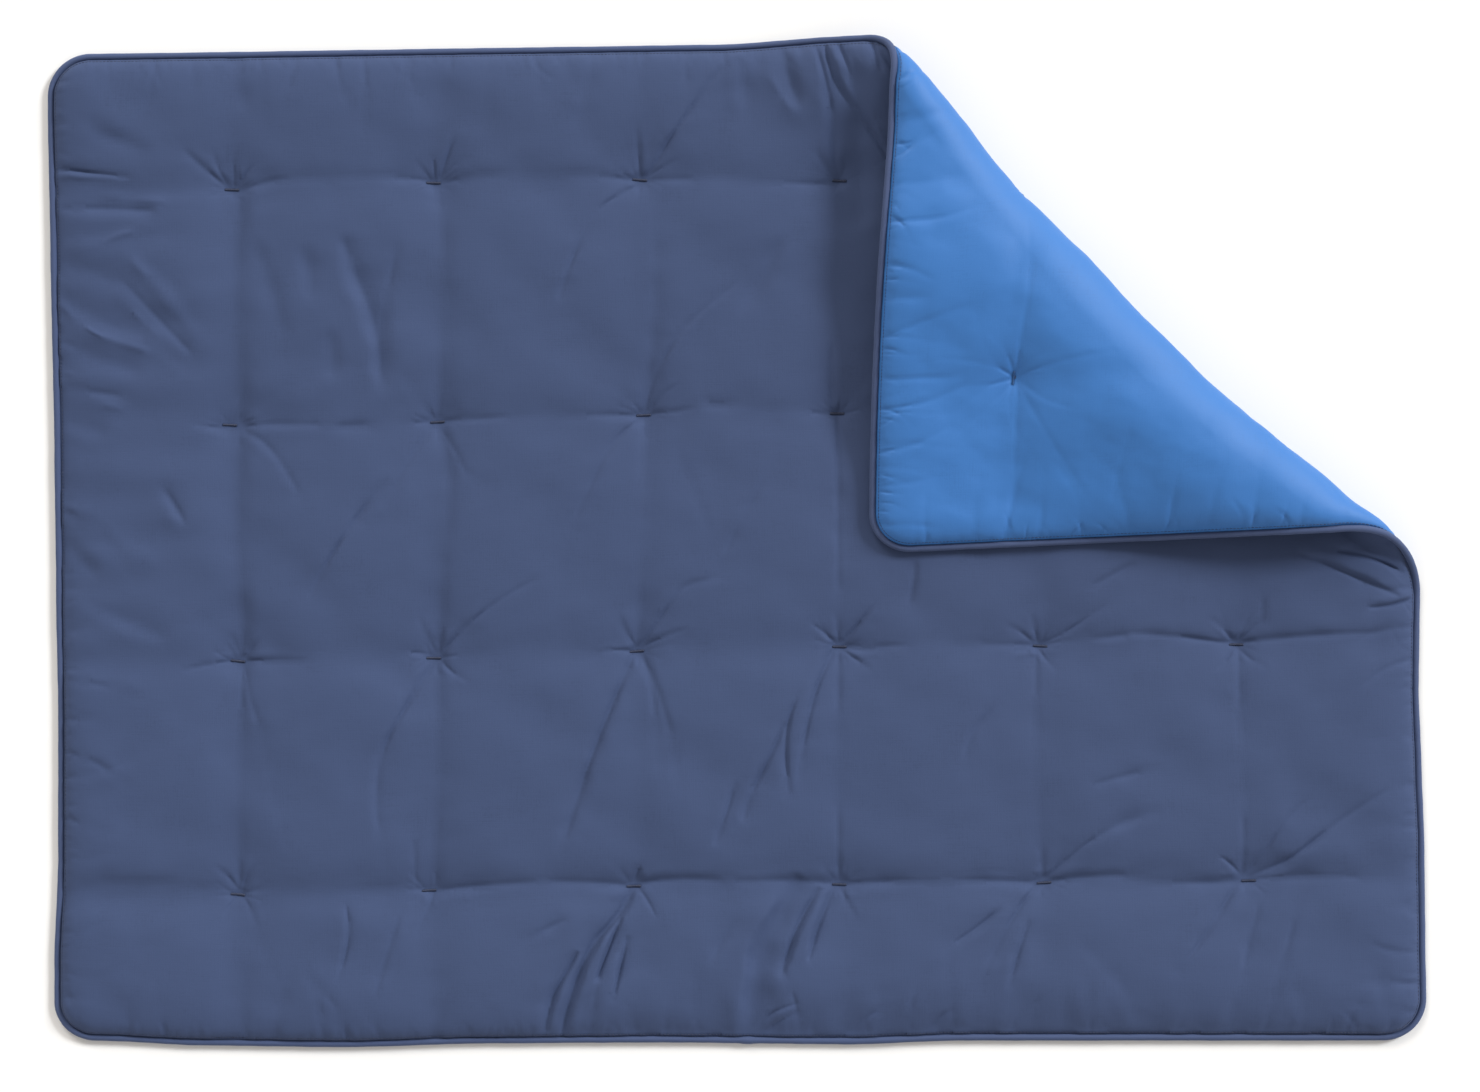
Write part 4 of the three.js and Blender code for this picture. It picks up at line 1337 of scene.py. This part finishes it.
def cloth_material(name, colour, warp, mottle, rough, sheen, bump, specular):
    """Woven cloth: threads both ways, uneven ones here and there, and a faint mottle. sheen is its
    weight, roughness and tint, and bump its strength and the pile's share."""
    n = Nodes(name)
    place = n.add("ShaderNodeUVMap", uv_map="cloth").outputs[0]
    threads = {"Vector": place, "Scale": warp}
    ways = [n.add("ShaderNodeTexWave", threads, bands_direction=way).outputs[1] for way in "XY"]
    weave = n.maths("MULTIPLY", *ways)
    slub_x = n.noise(n.scaled(place, (SLUB_ALONG, SLUB_ACROSS, 1)), 1)
    slub_y = n.noise(n.scaled(place, (SLUB_ACROSS, SLUB_ALONG, 1)), 1)
    slubs = n.maths("ADD", slub_x, slub_y)
    patches = n.noise(place, PATCH_SCALE, 3)
    grain = n.noise(place, GRAIN_SCALE)
    total = n.weighted((slubs, SLUB_MOTTLE), (patches, PATCH_MOTTLE), (grain, GRAIN_MOTTLE))
    spread = {0: total, 1: MOTTLE_RANGE[0], 2: MOTTLE_RANGE[1], 3: 1 - mottle, 4: 1 + mottle}
    factor = n.add("ShaderNodeMapRange", spread).outputs[0]
    n.tint(colour, factor)
    pile = n.noise(place, PILE_SCALE, 3)
    height = n.weighted((weave, WEAVE_HEIGHT), (slubs, SLUB_HEIGHT), (pile, bump[1]))
    n.bump(height, bump[0], BUMP_DEPTH)
    n.link(n.ramp(grain, rough - ROUGH_SPREAD, rough + ROUGH_SPREAD), "Roughness")
    n.set("Specular IOR Level", specular)
    n.set("Sheen Weight", sheen[0])
    n.set("Sheen Roughness", sheen[1])
    n.set("Sheen Tint", (*sheen[2], 1))
    return n.material


THREAD_SCALE = 900
THREAD_SHADES = (0.75, 1.25)
THREAD_BUMP = 0.4
THREAD_BUMP_DEPTH = 0.0002
THREAD_ROUGH = 0.55


def thread_material(name, colour):
    """Twisted thread, with a fine grain."""
    n = Nodes(name)
    grain = n.noise(n.add("ShaderNodeTexCoord").outputs["Object"], THREAD_SCALE)
    n.tint(colour, n.ramp(grain, *THREAD_SHADES))
    n.bump(grain, THREAD_BUMP, THREAD_BUMP_DEPTH)
    n.set("Roughness", THREAD_ROUGH)
    return n.material


NAVY = (0.041, 0.062, 0.134)
BLUE = (0.036, 0.147, 0.410)
PIPE = (0.048, 0.070, 0.150)
THREAD = (0.028, 0.038, 0.080)
BLUE_THREAD = (0.022, 0.085, 0.230)
FLOOR = (0.84, 0.84, 0.84)
# Weight, roughness and tint of each cloth's sheen
NAVY_SHEEN = (0.08, 0.5, (0.6, 0.7, 1.0))
BLUE_SHEEN = (0.05, 0.4, (0.7, 0.85, 1.0))
PIPE_SHEEN = (0.16, 0.5, (0.5, 0.65, 1.0))

FLOOR_ROUGH = 0.9
FLOOR_SPECULAR = 0.1
# The floor's half side in metres. It lies a little under the blanket, whose underside it mustn't meet.
FLOOR_HALF = 8
FLOOR_DROP = 0.5
FLOOR_CORNERS = ((-1, -1), (1, -1), (1, 1), (-1, 1))


def make_floor():
    mesh = bpy.data.meshes.new("floor")
    corners = [(x * FLOOR_HALF, y * FLOOR_HALF, -FLOOR_DROP * MM) for x, y in FLOOR_CORNERS]
    mesh.from_pydata(corners, [], [(0, 1, 2, 3)])
    floor = add_object("floor", mesh)
    n = Nodes("pale_floor")
    n.set("Base Color", (*FLOOR, 1))
    n.set("Roughness", FLOOR_ROUGH)
    n.set("Specular IOR Level", FLOOR_SPECULAR)
    mesh.materials.append(n.material)


def sun_light(name, bearing, height, strength, spread, colour):
    """A broad even light: its bearing from +X and its height over the floor are in degrees."""
    data = bpy.data.lights.new(name, "SUN")
    data.energy = strength
    data.angle = math.radians(spread)
    data.color = colour
    light = add_object(name, data)
    turn, lift = math.radians(bearing), math.radians(height)
    toward = Vector((math.cos(lift) * math.cos(turn), math.cos(lift) * math.sin(turn), math.sin(lift)))
    light.rotation_euler = toward.to_track_quat("Z", "Y").to_euler()


def make_world(top, side):
    """Soft light from all round: its colours straight above and at the sides, where it is stronger."""
    world = bpy.data.worlds.new("world")
    bpy.context.scene.world = world
    world.use_nodes = True
    nodes, links = world.node_tree.nodes, world.node_tree.links
    place = nodes.new("ShaderNodeTexCoord")
    parts = nodes.new("ShaderNodeSeparateXYZ")
    blend = nodes.new("ShaderNodeMix")
    blend.data_type = "RGBA"
    blend.inputs[6].default_value = (*side, 1)
    blend.inputs[7].default_value = (*top, 1)
    links.new(place.outputs["Generated"], parts.inputs[0])
    links.new(parts.outputs[2], blend.inputs[0])
    links.new(blend.outputs[2], nodes["Background"].inputs[0])


def make_camera():
    data = bpy.data.cameras.new("camera")
    data.sensor_width = SENSOR
    data.lens = SENSOR * CAMERA_HEIGHT / (PIXEL * PICTURE[0])
    camera = add_object("camera", data)
    x, y = CAMERA_OFF[0] + CENTRING[0], CAMERA_OFF[1] + CENTRING[1]
    camera.location = (x * MM, y * MM, CAMERA_HEIGHT * MM)
    bpy.context.scene.camera = camera


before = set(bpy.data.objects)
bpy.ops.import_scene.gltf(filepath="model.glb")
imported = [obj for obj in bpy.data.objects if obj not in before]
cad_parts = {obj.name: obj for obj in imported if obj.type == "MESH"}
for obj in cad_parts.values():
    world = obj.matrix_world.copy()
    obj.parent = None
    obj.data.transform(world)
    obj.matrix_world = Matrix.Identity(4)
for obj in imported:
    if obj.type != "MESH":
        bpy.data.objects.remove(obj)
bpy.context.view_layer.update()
make_camera()

quilt = make_quilt()
look = dict(warp=290, mottle=0.09, rough=0.8, sheen=NAVY_SHEEN, bump=(0.25, 1.2), specular=0.2)
quilt.data.materials.append(cloth_material("navy_cloth", NAVY, **look))
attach(quilt, "root")
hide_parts("quilted_face")

back = make_back()
look = dict(warp=340, mottle=0.06, rough=0.55, sheen=BLUE_SHEEN, bump=(0.2, 1.2), specular=0.3)
back.data.materials.append(cloth_material("blue_cloth", BLUE, **look))
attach(back, "root")
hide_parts("back_panel")

piping = make_piping()
look = dict(warp=420, mottle=0.06, rough=0.7, sheen=PIPE_SHEEN, bump=(0.3, 1.0), specular=0.25)
piping.data.materials.append(cloth_material("piping_cloth", PIPE, **look))
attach(piping, "root")
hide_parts("edge_piping")

face_surface, back_surface = surface_of(quilt), surface_of(back)
sewing = [
    (seam_stitches(face_surface, back_surface), THREAD),
    (bar_tacks("face_tacks", 1, face_relief, face_surface), THREAD),
    (bar_tacks("back_tacks", -1, back_relief, back_surface), BLUE_THREAD),
]
for piece, colour in sewing:
    piece.data.materials.append(thread_material(piece.name + "_thread", colour))
    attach(piece, "root")

make_floor()
sun_light("right_light", bearing=35, height=30, strength=2.9, spread=16, colour=(0.97, 1.0, 1.02))
sun_light("top_light", bearing=112, height=32, strength=1.4, spread=22, colour=(1.03, 1.0, 0.94))
make_world(top=(0.4, 0.38, 0.36), side=(0.99, 0.95, 0.91))
bpy.context.scene.view_settings.view_transform = "Standard"
